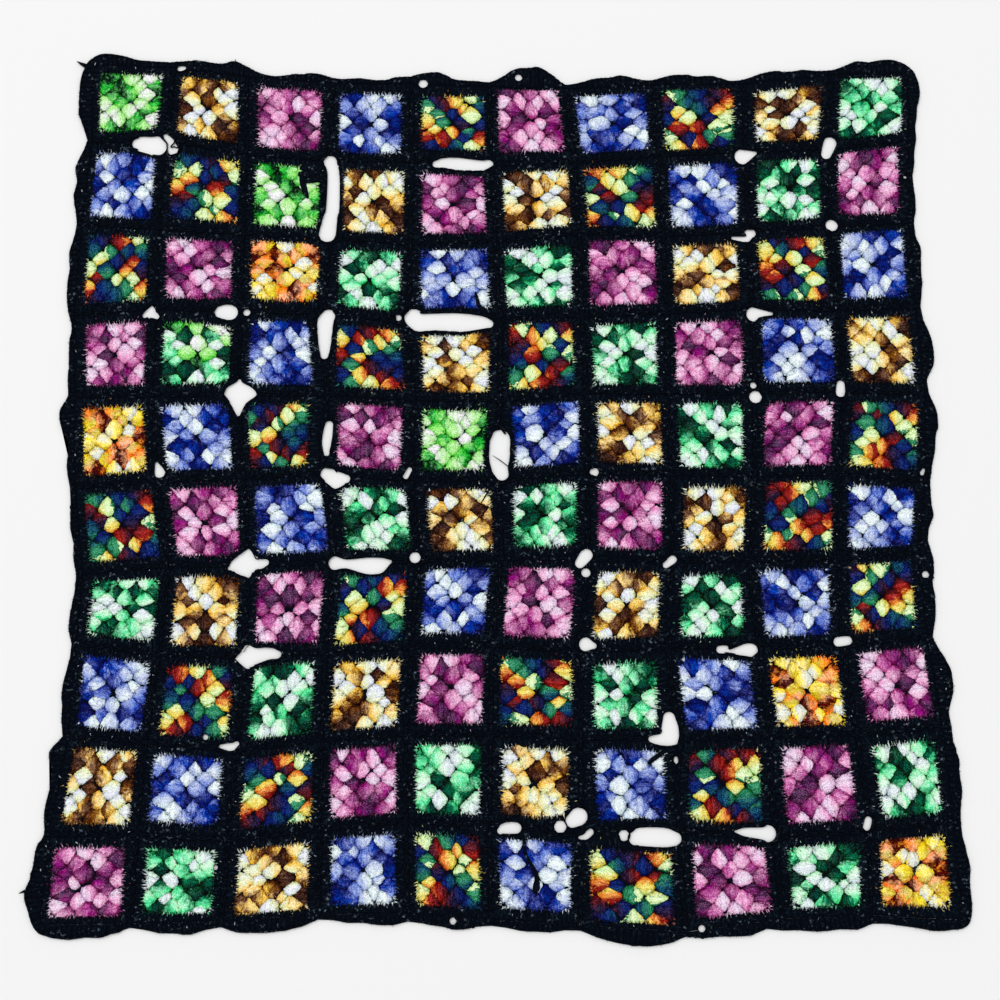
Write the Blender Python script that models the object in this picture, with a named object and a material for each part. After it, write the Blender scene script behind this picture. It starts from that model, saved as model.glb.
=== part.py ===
"""Granny square blanket, ten squares by ten, lying flat and a little uneven.

Ten columns of ten joined squares and a crocheted edging round them all. The
blanket lies on z = 0 with its middle at x = y = 0: +X runs to the right along
its near edge, +Y runs away from that edge, +Z is up.
"""

import math

import bmesh
import bpy

MM = 0.001

SQUARES = 10  # squares along each side
PITCH = 136.0  # mm from seam to seam on an even blanket
CLEARANCE = 0.3  # mm between neighbouring solids
SEAM_HEIGHT = 3.2  # mm, where two squares are joined
ROUND_HEIGHT = 4.2  # mm, over the last coloured round
MIDDLE_HEIGHT = 5.0  # mm, over the middle of a square
BAND_SHARE = 0.11  # share of a square's side that its black round takes
EDGE_INNER_HEIGHT = 3.2  # mm, edging beside the squares
EDGE_CROWN_HEIGHT = 4.2  # mm, edging at its thickest
EDGE_OUTER_HEIGHT = 2.4  # mm, edging at its rim
EDGE_CROWN_SHARE = 0.45  # how far across the edging it is thickest
LEAST_REACH = 8.0  # mm, narrowest edging
MIDDLE = (0.77, 1.67)  # mm, added to every place so that the outline's box is centred

# How far each corner of the squares lies from an even grid, in mm.
# Rows run from the far edge to the near edge, columns from left to right.
CORNER_SHIFT_X = (
    (6, 7, -9, 0, -5, -11, -21, -12, 3, 15, 6),
    (12, -4, -5, -2, -3, -10, -7, -5, 4, 2, 2),
    (2, -10, -6, 0, -4, -1, 0, 0, 2, 1, -4),
    (-2, -7, -6, -6, -5, 6, 2, 3, 8, 7, -2),
    (6, -8, -6, 2, 4, 6, 8, 2, 6, 12, 6),
    (15, 8, 9, 1, 1, 4, 11, 6, 1, -3, -3),
    (34, 33, 20, 20, 13, 8, 6, 1, -11, -7, -16),
    (30, 23, 20, 8, 5, -6, -5, -6, -4, -8, -12),
    (25, 8, 12, 4, -2, -8, -7, 3, 10, 7, 3),
    (6, 1, 3, 7, 0, -10, -8, 4, 11, 22, 12),
    (-1, -2, -3, 6, 4, -8, -10, 11, 20, 18, 18),
)
CORNER_SHIFT_Y = (
    (20, 15, -1, -12, -15, -19, -23, -16, -15, 2, 5),
    (20, 21, -2, -14, -15, -21, -16, -6, 3, 6, 23),
    (12, 4, -6, -13, -22, -19, -4, -8, -2, 8, 14),
    (-7, 3, -2, -6, -19, -14, -11, -4, 3, 0, 6),
    (-8, -7, -5, -6, -13, -17, -2, -2, -3, 1, -6),
    (-22, -10, -6, 2, -9, -8, 3, 1, -2, 1, -11),
    (-21, -10, -10, -5, -2, 1, 0, -3, -2, 0, 10),
    (4, -14, -15, -11, -1, 0, -8, -1, -3, 2, 13),
    (-3, -12, -22, -8, 1, 1, -5, -7, -3, 1, 12),
    (-13, -14, -22, -5, 6, 0, -8, -10, -17, -7, 4),
    (-10, -8, -5, 6, 6, -3, -10, -20, -1, 4, -3),
)

# Width of the edging in mm at three stations a square, the first at the corner
# or seam. Each side runs clockwise as seen from above.
EDGE_REACH = {
    "far": (12, 21, 11, 10, 21, 20, 20, 8, 14, 10, 12, 8, 14, 24, 12)
    + (10, 32, 39, 10, 18, 21, 10, 20, 17, 10, 20, 18, 10, 25, 27),
    "right": (12, 22, 18, 15, 11, 11, 10, 18, 15, 10, 21, 20, 10, 22, 17)
    + (10, 15, 14, 20, 18, 18, 10, 28, 24, 16, 21, 21, 14, 18, 18),
    "near": (13, 20, 14, 14, 19, 22, 19, 20, 15, 10, 26, 24, 10, 15, 14)
    + (10, 18, 16, 13, 18, 16, 10, 22, 22, 10, 20, 17, 10, 21, 24),
    "left": (12, 37, 23, 10, 16, 16, 10, 15, 14, 10, 16, 12, 12, 12, 14)
    + (10, 14, 24, 13, 12, 10, 12, 17, 18, 10, 22, 24, 10, 24, 24),
}

# Open places between the stitches. Each is a chain of (x, y, half width) in mm.
GAPS = {
    "row_1_2_left": ((-590, 556, 12), (-574, 555, 16), (-560, 556, 14)),
    "row_1_2_left_end": ((-536, 565, 5), (-534, 554, 6), (-528, 546, 5)),
    "row_1_2_middle": (
        (-98, 524, 7), (-76, 524, 10), (-55, 523, 12), (-34, 520, 10), (-15, 521, 9),
    ),
    "row_2_tall": (
        (-272, 523, 11), (-269, 498, 11), (-268, 448, 11), (-272, 423, 11),
        (-275, 399, 12),
    ),
    "row_3_4_middle": (
        (-129, 256, 17), (-117, 250, 14), (-91, 249, 15), (-59, 249, 15),
        (-30, 249, 12), (-12, 249, 8),
    ),
    "row_4_tall": ((-272, 262, 11), (-276, 242, 12), (-276, 221, 10), (-276, 196, 7)),
    "row_5_tall_left": ((-266, 77, 6), (-269, 57, 8), (-269, 35, 6)),
    "row_5_tall_right": ((7, 62, 14), (7, 35, 16), (8, 19, 15), (8, 3, 11)),
    "row_6_7_wide": (
        (-250, -144, 10), (-231, -146, 9), (-211, -147, 12), (-191, -149, 12),
        (-178, -147, 10), (-169, -142, 5),
    ),
    "row_9_10_wide": (
        (211, -563, 8), (225, -561, 14), (250, -561, 14), (268, -563, 13),
    ),
    "row_9_10_dot": ((193, -560, 7),),
    "row_9_10_short": ((10, -549, 8), (21, -549, 8), (33, -549, 8)),
    "corner_4_2": (
        (-410, 149, 5), (-410, 141, 18), (-407, 129, 26), (-409, 112, 10),
        (-408, 98, 4),
    ),
    "corner_5_3": (
        (-269, 0, 9), (-261, -5, 13), (-251, -11, 13), (-240, -10, 6),
        (-234, -10, 3),
    ),
    "corner_6_2": (
        (-416, -151, 3), (-403, -149, 10), (-388, -142, 21), (-375, -141, 9),
        (-366, -141, 6), (-358, -141, 4),
    ),
    "corner_7_2": (
        (-401, -296, 3), (-389, -293, 12), (-378, -286, 17), (-361, -288, 12),
        (-344, -286, 8), (-334, -285, 5),
    ),
    "corner_8_7": (
        (266, -380, 6), (268, -395, 12), (266, -412, 15), (252, -416, 8),
        (237, -415, 4),
    ),
    "corner_8_7_low": ((274, -443, 3), (274, -450, 3)),
    "corner_9_6": ((128, -528, 11), (113, -537, 11)),
    "corner_9_6_left": ((94, -548, 8),),
    "corner_9_6_low": ((146, -555, 4), (138, -561, 5), (128, -565, 3)),
    "corner_9_8": ((359, -552, 3), (379, -555, 7), (394, -555, 9), (410, -557, 12)),
    "corner_9_9": ((561, -538, 5), (560, -548, 6)),
    "corner_9_2": ((-422, -605, 3),),
    "corner_7_8": (
        (344, -279, 5), (355, -277, 6), (363, -280, 3), (378, -280, 8),
        (395, -279, 11),
    ),
    "corner_7_6": ((137, -273, 11), (145, -271, 9)),
    "corner_7_9": ((529, -266, 7), (546, -264, 7)),
    "corner_8_2": ((-420, -425, 3), (-408, -427, 6), (-396, -422, 5)),
    "corner_8_2_left": ((-445, -412, 4),),
    "corner_6_6": ((140, -131, 10), (131, -142, 7)),
    "corner_6_6_low": ((140, -161, 6),),
    "corner_6_7": ((276, -138, 7), (265, -147, 6)),
    "corner_6_4": ((-127, -135, 9),),
    "corner_6_1": ((-510, -143, 3),),
    "corner_5_1": ((-536, 15, 5), (-532, 1, 8)),
    "corner_5_4": ((-135, 6, 4), (-142, -4, 4)),
    "corner_5_6": ((155, 3, 7),),
    "corner_4_8": ((413, 125, 10),),
    "corner_4_8_far": ((410, 147, 5),),
    "corner_4_9": ((552, 147, 7), (551, 131, 7)),
    "corner_3_1": (
        (-569, 259, 2), (-564, 262, 6), (-556, 268, 11), (-549, 263, 7),
        (-546, 260, 4),
    ),
    "corner_3_2": ((-448, 268, 10), (-436, 268, 12), (-425, 267, 10)),
    "corner_3_2_right": ((-402, 268, 6),),
    "corner_3_4": ((-158, 259, 5),),
    "corner_3_8": ((416, 263, 12), (427, 266, 9), (443, 266, 3)),
    "corner_2_8": ((389, 394, 4), (404, 391, 6), (412, 396, 8), (417, 403, 9)),
    "corner_2_9": ((548, 415, 10),),
    "corner_1_8": ((403, 534, 12), (420, 541, 8)),
    "corner_1_9": ((552, 557, 12), (545, 539, 9)),
    "edge_far_1": ((-529, 692, 5), (-521, 693, 5)),
    "edge_far_4": ((-122, 665, 9),),
    "edge_far_6": ((37, 677, 7),),
    "edge_right_2": ((672, 500, 3),),
    "edge_right_5": ((676, 6, 3), (672, 0, 3)),
    "edge_right_7": ((670, -161, 5),),
    "edge_near_5": ((-64, -684, 5),),
    "edge_near_8": ((307, -695, 5),),
}

SQUARE_COLOUR = (0.30, 0.26, 0.30)
EDGING_COLOUR = (0.010, 0.013, 0.020)


def placed(x, y, height):
    """A place in the table's mm as Blender's metres, about the blanket's middle."""
    return ((x + MIDDLE[0]) * MM, (y + MIDDLE[1]) * MM, height * MM)


def clear_scene():
    for obj in list(bpy.data.objects):
        bpy.data.objects.remove(obj, do_unlink=True)


def yarn(name, colour, roughness):
    material = bpy.data.materials.new(name)
    material.use_nodes = True
    shader = material.node_tree.nodes["Principled BSDF"]
    shader.inputs["Base Color"].default_value = (*colour, 1.0)
    shader.inputs["Roughness"].default_value = roughness
    shader.inputs["Metallic"].default_value = 0.0
    return material


def corner(row, column):
    """Corner of the squares, in mm: row 0 is the far edge, column 0 the left one."""
    half = SQUARES / 2
    x = (column - half) * PITCH + CORNER_SHIFT_X[row][column]
    y = (half - row) * PITCH + CORNER_SHIFT_Y[row][column]
    return x, y


def in_square(row, column, across, down):
    """Point of a square, in mm, by its share across (left to right) and down."""
    far_left, far_right = corner(row, column), corner(row, column + 1)
    near_left, near_right = corner(row + 1, column), corner(row + 1, column + 1)
    return tuple(
        (a * (1 - across) + b * across) * (1 - down)
        + (c * (1 - across) + d * across) * down
        for a, b, c, d in zip(far_left, far_right, near_left, near_right)
    )


def new_object(name, bm, material):
    bmesh.ops.recalc_face_normals(bm, faces=bm.faces[:])
    mesh = bpy.data.meshes.new(name)
    bm.to_mesh(mesh)
    bm.free()
    obj = bpy.data.objects.new(name, mesh)
    bpy.context.scene.collection.objects.link(obj)
    if material:
        mesh.materials.append(material)
    return obj


def square_height(station, across):
    """Height of the cloth in mm, by the nearer of its two station numbers."""
    ring = min(station, 4 - station, across, 4 - across)
    return (SEAM_HEIGHT, ROUND_HEIGHT, MIDDLE_HEIGHT)[ring]


def squares_column(column, material):
    """Ten squares joined one below the other, as one solid with a flat base."""
    shares = (0.0, BAND_SHARE, 0.5, 1 - BAND_SHARE)
    steps = 4 * SQUARES
    bm = bmesh.new()
    bmesh.ops.create_grid(bm, x_segments=4, y_segments=steps, size=0.5)
    base = bm.faces[:]
    places = {v: (round((v.co.x + 0.5) * 4), round((0.5 - v.co.y) * steps)) for v in bm.verts}
    raised = bmesh.ops.extrude_face_region(bm, geom=base, use_keep_orig=True)
    tops = [v for v in raised["geom"] if isinstance(v, bmesh.types.BMVert)]
    for v in tops:
        places[v] = (round((v.co.x + 0.5) * 4), round((0.5 - v.co.y) * steps))
    top_set = set(tops)
    for v, (across, down) in places.items():
        row = min(down // 4, SQUARES - 1)
        station = down - 4 * row
        share_x = 1.0 if across == 4 else shares[across]
        share_y = 1.0 if station == 4 else shares[station]
        x, y = in_square(row, column, share_x, share_y)
        x += {0: CLEARANCE / 2, 4: -CLEARANCE / 2}.get(across, 0.0)
        y += {0: -CLEARANCE / 2, steps: CLEARANCE / 2}.get(down, 0.0)
        height = square_height(station, across) if v in top_set else 0.0
        v.co = placed(x, y, height)
    bmesh.ops.dissolve_faces(bm, faces=base)
    return new_object(f"squares_column_{column + 1:02d}", bm, material)


def edge_stations():
    """(x, y, outward x, outward y, reach) round the squares, clockwise, in mm."""
    n = SQUARES
    sides = (
        ("far", [(0, k) for k in range(n + 1)], (0, 1), (-1, 1)),
        ("right", [(k, n) for k in range(n + 1)], (1, 0), (1, 1)),
        ("near", [(n, n - k) for k in range(n + 1)], (0, -1), (1, -1)),
        ("left", [(n - k, 0) for k in range(n + 1)], (-1, 0), (-1, -1)),
    )
    found = []
    for name, corners, out, diagonal in sides:
        for k in range(n):
            a, b = corner(*corners[k]), corner(*corners[k + 1])
            for third in range(3):
                share = third / 3
                x = a[0] + (b[0] - a[0]) * share
                y = a[1] + (b[1] - a[1]) * share
                at_end = k == 0 and third == 0
                way = [c * math.sqrt(0.5) for c in diagonal] if at_end else out
                reach = max(EDGE_REACH[name][3 * k + third], LEAST_REACH)
                found.append((x, y, way[0], way[1], reach, diagonal if at_end else out))
    return found


def between(before, a, b, after):
    """Halfway from a to b on a smooth line through all four."""
    return (9 * (a + b) - before - after) / 16


def edging(material):
    """The black round that frames the squares, as one closed ring."""
    marks = edge_stations()
    count = len(marks)
    rims = [(m[0] + m[2] * m[4], m[1] + m[3] * m[4]) for m in marks]
    rings = []
    for k, (x, y, _, _, _, side) in enumerate(marks):
        following = marks[(k + 1) % count]
        rings.append(((x, y), side, rims[k]))
        middle = ((x + following[0]) / 2, (y + following[1]) / 2)
        plain = side if 0 in side else following[5]
        around = [rims[(k + step) % count] for step in (-1, 0, 1, 2)]
        rim = tuple(between(*(p[axis] for p in around)) for axis in (0, 1))
        rings.append((middle, plain, rim))
    profile = len(rings)
    bm = bmesh.new()
    bmesh.ops.create_grid(bm, x_segments=5, y_segments=profile, size=0.5)
    for v in bm.verts:
        place = round((v.co.x + 0.5) * 5) % 5
        (x, y), side, rim = rings[round((v.co.y + 0.5) * profile) % profile]
        inner = (x + side[0] * CLEARANCE / 2, y + side[1] * CLEARANCE / 2)
        share, height = (
            (0.0, 0.0),
            (0.0, EDGE_INNER_HEIGHT),
            (EDGE_CROWN_SHARE, EDGE_CROWN_HEIGHT),
            (1.0, EDGE_OUTER_HEIGHT),
            (1.0, 0.0),
        )[place]
        v.co = placed(*(a + (b - a) * share for a, b in zip(inner, rim)), height)
    bmesh.ops.remove_doubles(bm, verts=bm.verts[:], dist=1e-6)
    return new_object("edging", bm, material)


def gap_outline(chain):
    """Points round a gap, in mm: its sides run beside the chain, its ends are round."""
    if len(chain) == 1:
        x, y, radius = chain[0]
        turns = [math.tau * k / 8 for k in range(8)]
        return [(x + radius * math.cos(t), y + radius * math.sin(t)) for t in turns]
    left, right, ways = [], [], []
    for k, (x, y, half_width) in enumerate(chain):
        before, after = chain[max(k - 1, 0)], chain[min(k + 1, len(chain) - 1)]
        length = math.hypot(after[0] - before[0], after[1] - before[1])
        way = ((after[0] - before[0]) / length, (after[1] - before[1]) / length)
        ways.append(way)
        left.append((x - way[1] * half_width, y + way[0] * half_width))
        right.append((x + way[1] * half_width, y - way[0] * half_width))

    def end(mark, way, first_turn):
        turns = [first_turn - math.radians(a) for a in (45, 90, 135)]
        heading = math.atan2(way[1], way[0])
        return [
            (mark[0] + mark[2] * math.cos(heading + t), mark[1] + mark[2] * math.sin(heading + t))
            for t in turns
        ]

    last = end(chain[-1], ways[-1], math.pi / 2)
    first = end(chain[0], ways[0], -math.pi / 2)
    return left + last + right[::-1] + first


def gap_cutters():
    """Upright prisms in the shape of the gaps, for cutting through the cloth."""
    bm = bmesh.new()
    for chain in GAPS.values():
        ring = [bm.verts.new(placed(x, y, -2.0)) for x, y in gap_outline(chain)]
        face = bm.faces.new(ring)
        raised = bmesh.ops.extrude_face_region(bm, geom=[face], use_keep_orig=True)
        tops = [v for v in raised["geom"] if isinstance(v, bmesh.types.BMVert)]
        bmesh.ops.translate(bm, verts=tops, vec=(0.0, 0.0, 12 * MM))
    cutter = new_object("gap_cutters", bm, None)
    cutter.hide_render = True
    cutter.display_type = "WIRE"
    return cutter


def cut(obj, cutter):
    modifier = obj.modifiers.new("gaps", "BOOLEAN")
    modifier.operation = "DIFFERENCE"
    modifier.solver = "EXACT"
    modifier.object = cutter


def main():
    clear_scene()
    squares_yarn = yarn("squares_yarn", SQUARE_COLOUR, 0.9)
    edging_yarn = yarn("edging_yarn", EDGING_COLOUR, 0.9)
    pieces = [squares_column(column, squares_yarn) for column in range(SQUARES)]
    pieces.append(edging(edging_yarn))
    cutter = gap_cutters()
    for piece in pieces:
        cut(piece, cutter)


main()
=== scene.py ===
import math

import bmesh
import bpy
import numpy as np
from mathutils import Matrix, Vector
from mathutils.geometry import tessellate_polygon


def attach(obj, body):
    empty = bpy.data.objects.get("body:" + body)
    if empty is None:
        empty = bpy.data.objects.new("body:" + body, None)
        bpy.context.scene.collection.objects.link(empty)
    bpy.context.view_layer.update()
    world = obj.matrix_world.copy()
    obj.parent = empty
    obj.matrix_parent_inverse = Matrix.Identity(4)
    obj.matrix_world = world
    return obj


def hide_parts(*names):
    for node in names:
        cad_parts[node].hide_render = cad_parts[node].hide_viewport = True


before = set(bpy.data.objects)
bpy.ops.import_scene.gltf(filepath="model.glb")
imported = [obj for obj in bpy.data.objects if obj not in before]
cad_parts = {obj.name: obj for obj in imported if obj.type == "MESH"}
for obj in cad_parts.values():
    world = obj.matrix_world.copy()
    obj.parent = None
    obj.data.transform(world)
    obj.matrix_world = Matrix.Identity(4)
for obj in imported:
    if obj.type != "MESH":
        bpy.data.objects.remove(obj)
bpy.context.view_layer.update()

bl_info = {
    "name": "Granny square blanket",
    "version": (1, 0, 0),
    "blender": (4, 5, 0),
    "location": "View3D > Sidebar > Blanket",
    "description": "Crochets the stitches of a blanket of a hundred granny squares",
    "category": "Add Mesh",
}

MM = 0.001
SQUARES = 10  # squares along each side
PITCH = 136.0  # mm from seam to seam on an even blanket
BAND_SHARE = 0.124  # share of a square's side between its seam and its coloured yarn
LEAST_REACH = 8.0  # mm, narrowest edging
PULL_REACH = 95.0  # mm from a gap to where it no longer spreads the stitches
PULL_FADE = 45.0  # mm over which that pull dies away
TORN = 18.0  # mm that the ends of a strand may be pulled apart before it is left out
CLOTH_RIM = 0.9  # mm from a gap to the cloth under the yarn of its rim
YARN_RIM = 1.2  # mm from a gap to the middle of that yarn
WALL_BEND = 5.5  # how sharply the sides of a cluster meet
CORNER_WALL = 1.28  # a coloured area's cut corners, in halves of that area
CREASE = 0.333  # where a cluster's two creases lie, as a share of half its width
ROUND_HEIGHTS = (1.12, 1.05, 0.97)  # of the three coloured rounds, as shares of the crown
TUFTS = 12  # round each cluster
TEETH = 24  # coloured tops along one side of a square
BLACK_TEETH = 22  # black tufts along one side of a square
JOINS = 9  # slanting strands along one side of a square, in each of two rows
STITCH_THICK = 3.4  # mm, of the black stitches and the widest strands
CAMERA_PLACE = (0.00672, -0.53809, 2.42685)  # m
CAMERA_TILT = 11.6  # degrees off the vertical
CAMERA_LENS = 56.556  # mm, for a sensor 36 mm wide
MIDDLE = (0.77, 1.67)  # mm, from the tables' middle to the blanket's

# How far each corner of the squares lies from an even grid, in mm.
# Rows run from the far edge to the near edge, columns from left to right.
CORNER_SHIFT_X = (
    (6, 7, -9, 0, -5, -11, -21, -12, 3, 15, 6),
    (12, -4, -5, -2, -3, -10, -7, -5, 4, 2, 2),
    (2, -10, -6, 0, -4, -1, 0, 0, 2, 1, -4),
    (-2, -7, -6, -6, -5, 6, 2, 3, 8, 7, -2),
    (6, -8, -6, 2, 4, 6, 8, 2, 6, 12, 6),
    (15, 8, 9, 1, 1, 4, 11, 6, 1, -3, -3),
    (34, 33, 20, 20, 13, 8, 6, 1, -11, -7, -16),
    (30, 23, 20, 8, 5, -6, -5, -6, -4, -8, -12),
    (25, 8, 12, 4, -2, -8, -7, 3, 10, 7, 3),
    (6, 1, 3, 7, 0, -10, -8, 4, 11, 22, 12),
    (-1, -2, -3, 6, 4, -8, -10, 11, 20, 18, 18),
)
CORNER_SHIFT_Y = (
    (20, 15, -1, -12, -15, -19, -23, -16, -15, 2, 5),
    (20, 21, -2, -14, -15, -21, -16, -6, 3, 6, 23),
    (12, 4, -6, -13, -22, -19, -4, -8, -2, 8, 14),
    (-7, 3, -2, -6, -19, -14, -11, -4, 3, 0, 6),
    (-8, -7, -5, -6, -13, -17, -2, -2, -3, 1, -6),
    (-22, -10, -6, 2, -9, -8, 3, 1, -2, 1, -11),
    (-21, -10, -10, -5, -2, 1, 0, -3, -2, 0, 10),
    (4, -14, -15, -11, -1, 0, -8, -1, -3, 2, 13),
    (-3, -12, -22, -8, 1, 1, -5, -7, -3, 1, 12),
    (-13, -14, -22, -5, 6, 0, -8, -10, -17, -7, 4),
    (-10, -8, -5, 6, 6, -3, -10, -20, -1, 4, -3),
)

# Width of the edging in mm at three stations a square, the first at the corner
# or seam. Each side runs clockwise as seen from above.
EDGE_REACH = {
    "far": (12, 21, 11, 10, 21, 20, 20, 8, 14, 10, 12, 8, 14, 24, 12)
    + (10, 32, 39, 10, 18, 21, 10, 20, 17, 10, 20, 18, 10, 25, 27),
    "right": (12, 22, 18, 15, 11, 11, 10, 18, 15, 10, 21, 20, 10, 22, 17)
    + (10, 15, 14, 20, 18, 18, 10, 28, 24, 16, 21, 21, 14, 18, 18),
    "near": (13, 20, 14, 14, 19, 22, 19, 20, 15, 10, 26, 24, 10, 15, 14)
    + (10, 18, 16, 13, 18, 16, 10, 22, 22, 10, 20, 17, 10, 21, 24),
    "left": (12, 37, 23, 10, 16, 16, 10, 15, 14, 10, 16, 12, 12, 12, 14)
    + (10, 14, 24, 13, 12, 10, 12, 17, 18, 10, 22, 24, 10, 24, 24),
}

# How far the edging's rim lies outside those widths, in mm, at six stations a square.
EDGE_TRIM = {
    "far": (-2, 2, -2, -4, -1, 0, -2, -2, -3, -4, -2, 4, -2, -6, -4, -2, -2, 2, -2, -4)
    + (-3, -3, -2, 2, -1, -2, -2, -6, -3, 0, -2, -3, -2, -4, -3, -2, -3, -2, -2, -4)
    + (-2, -4, -2, 1, -2, -5, -2, -6, -2, 0, -2, -7, -4, -3, -2, -2, -2, -7, -2, 1),
    "right": (-2, -2, -2, -6, -4, -6, -3, -4, -3, -7, -2, 0, -3, -6, -3, -4, -2, 0, -2, -5)
    + (-3, -1, -2, -10, -4, 1, -2, -4, -2, -2, -2, -2, -2, 2, -3, -6, -3, -1, -4, -2)
    + (-2, 0, -2, -2, -2, 0, -1, -6, -2, -4, -2, -4, -2, -4, -3, -4, -2, -1, -3, -2),
    "near": (-3, -4, -2, -3, -1, -2, -2, 4, -1, -1, -2, -3, -2, -8, -2, -2, -2, -1, -3, 0)
    + (-2, -2, -2, 0, -2, -3, -2, -2, -1, -2, -2, -3, -2, -3, -2, -2, -2, 1, -2, -5)
    + (-3, -3, -2, 1, -2, -2, -2, 2, -2, -3, -2, -4, -2, -3, -4, -2, -1, -5, -2, -1),
    "left": (-2, -8, -8, -10, -3, 3, -2, 1, -2, -4, -1, 12, -2, 0, -2, 0, -2, -4, -3, 0)
    + (-2, -2, -2, -2, -2, 1, -2, 0, -3, -3, -2, 1, -3, -10, -2, 4, -3, -1, -3, -2)
    + (-2, -8, -3, -1, -2, -5, -2, -3, -2, -2, -3, -8, -2, -1, -2, -1, -2, -3, -2, -2),
}

# Open places between the stitches. Each is a chain of (x, y, half width) in mm.
GAPS = {
    "row_1_2_left": (
        (-592, 559, 9.5), (-591, 559, 12.5), (-572, 556, 15), (-563, 555, 17.5),
        (-559, 553, 14.5),
    ),
    "row_1_2_left_end": (
        (-547, 572, 4), (-538, 562, 5.5), (-541, 553, 2), (-536, 546, 7), (-529, 547, 4.5),
    ),
    "row_1_2_middle": (
        (-99, 523, 6), (-85, 525, 9), (-62, 523, 11), (-25, 520, 9), (-13, 523, 7.5),
    ),
    "row_2_tall": (
        (-274, 527, 10.5), (-268, 507, 9.5), (-268, 446, 10.5), (-271, 432, 11),
        (-276, 401, 13.5),
    ),
    "row_3_4_middle": (
        (-133, 258, 15), (-125, 250, 15), (-100, 251, 14), (-57, 250, 15.5), (-21, 250, 10),
        (-12, 248, 7),
    ),
    "row_4_tall": ((-271, 261, 11), (-276, 251, 13), (-276, 212, 9.5), (-276, 195, 6)),
    "row_5_tall_left": ((-266, 80, 6), (-269, 54, 7.5), (-269, 33, 4)),
    "row_5_tall_right": ((6, 56, 15.5), (5, 26, 16), (5, 10, 13), (9, 0, 10.5)),
    "row_6_7_wide": (
        (-251, -143, 10.5), (-234, -144, 6.5), (-203, -147, 12.5), (-185, -147, 12.5),
        (-180, -145, 11.5), (-169, -140, 5.5),
    ),
    "row_9_10_wide": ((211, -563, 10.5), (217, -561, 13), (253, -562, 14), (269, -564, 10.5)),
    "row_9_10_dot": ((193, -559, 8),),
    "row_9_10_short": ((7, -552, 5), (12, -548, 8), (30, -548, 8)),
    "corner_4_2": (
        (-411, 151, 4), (-412, 141, 20.5), (-410, 129, 27), (-412, 116, 13), (-411, 98, 3.5),
    ),
    "corner_5_3": ((-266, -1, 11.5), (-259, -7, 11), (-253, -10, 14), (-241, -8, 9), (-238, -8, 7)),
    "corner_6_2": (
        (-416, -151, 3), (-409, -148, 10.5), (-385, -144, 24), (-376, -145, 8.5),
        (-367, -144, 7.5), (-361, -142, 5.5),
    ),
    "corner_7_2": (
        (-402, -292, 1), (-389, -292, 15), (-381, -288, 18.5), (-370, -288, 12), (-351, -284, 9),
        (-339, -285, 7),
    ),
    "corner_8_7": (
        (265, -383, 9), (266, -401, 13), (265, -412, 15), (252, -416, 8.5), (238, -415, 5),
    ),
    "corner_8_7_low": ((274, -444, 2.5), (274, -449, 3)),
    "corner_9_6": ((125, -531, 13), (116, -537, 10.5)),
    "corner_9_6_left": ((97, -546, 9),),
    "corner_9_6_low": ((142, -554, 5), (135, -561, 4), (127, -562, 2.5)),
    "corner_9_8": ((361, -553, 1), (376, -554, 6), (402, -556, 8.5), (410, -556, 12.5)),
    "corner_9_9": ((563, -536, 5), (560, -546, 5.5)),
    "corner_9_2": ((-422, -606, 3.5),),
    "corner_7_8": (
        (346, -278, 5.5), (358, -278, 5.5), (361, -281, 2.5), (384, -279, 9), (394, -279, 10),
    ),
    "corner_7_6": ((139, -270, 10.5), (150, -272, 5)),
    "corner_7_9": ((529, -266, 7), (544, -264, 6.5)),
    "corner_8_2": ((-420, -426, 2.5), (-404, -427, 6), (-396, -422, 3.5)),
    "corner_8_2_left": ((-444, -412, 4),),
    "corner_6_6": ((141, -130, 9.5), (131, -143, 7.5)),
    "corner_6_6_low": ((140, -158, 7),),
    "corner_6_7": ((276, -137, 6), (265, -146, 4.5)),
    "corner_6_4": ((-127, -134, 8.5),),
    "corner_6_1": ((-509, -145, 1),),
    "corner_5_1": ((-537, 16, 3), (-532, 2, 8)),
    "corner_5_4": ((-137, 7, 3.5), (-143, -4, 4)),
    "corner_5_6": ((155, 3, 7),),
    "corner_4_8": ((414, 126, 10),),
    "corner_4_8_far": ((411, 145, 5),),
    "corner_4_9": ((551, 147, 6), (550, 133, 7)),
    "corner_3_1": (
        (-567, 262, 4), (-565, 264, 5), (-557, 266, 12.5), (-554, 264, 7), (-548, 260, 4),
    ),
    "corner_3_2": ((-444, 268, 10.5), (-439, 268, 12), (-430, 267, 12.5)),
    "corner_3_2_right": ((-403, 267, 5.5),),
    "corner_3_4": ((-158, 258, 5),),
    "corner_3_8": ((416, 264, 12), (424, 266, 7), (444, 265, 2.5)),
    "corner_2_8": ((386, 394, 2.5), (408, 392, 5), (411, 399, 7.5), (415, 402, 8)),
    "corner_2_9": ((548, 416, 10),),
    "corner_1_8": ((406, 536, 13), (426, 542, 3.5)),
    "corner_1_9": ((551, 560, 10.5), (544, 540, 8)),
    "edge_far_1": ((-528, 693, 4.5), (-522, 694, 3.5)),
    "edge_far_4": ((-122, 666, 7.5),),
    "edge_far_6": ((37, 677, 6),),
    "edge_right_2": ((672, 500, 2.5),),
    "edge_right_5": ((676, 7, 2), (673, 1, 3)),
    "edge_right_7": ((670, -161, 5.5),),
    "edge_near_5": ((-64, -684, 5),),
    "edge_near_8": ((307, -695, 5),),
}

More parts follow.
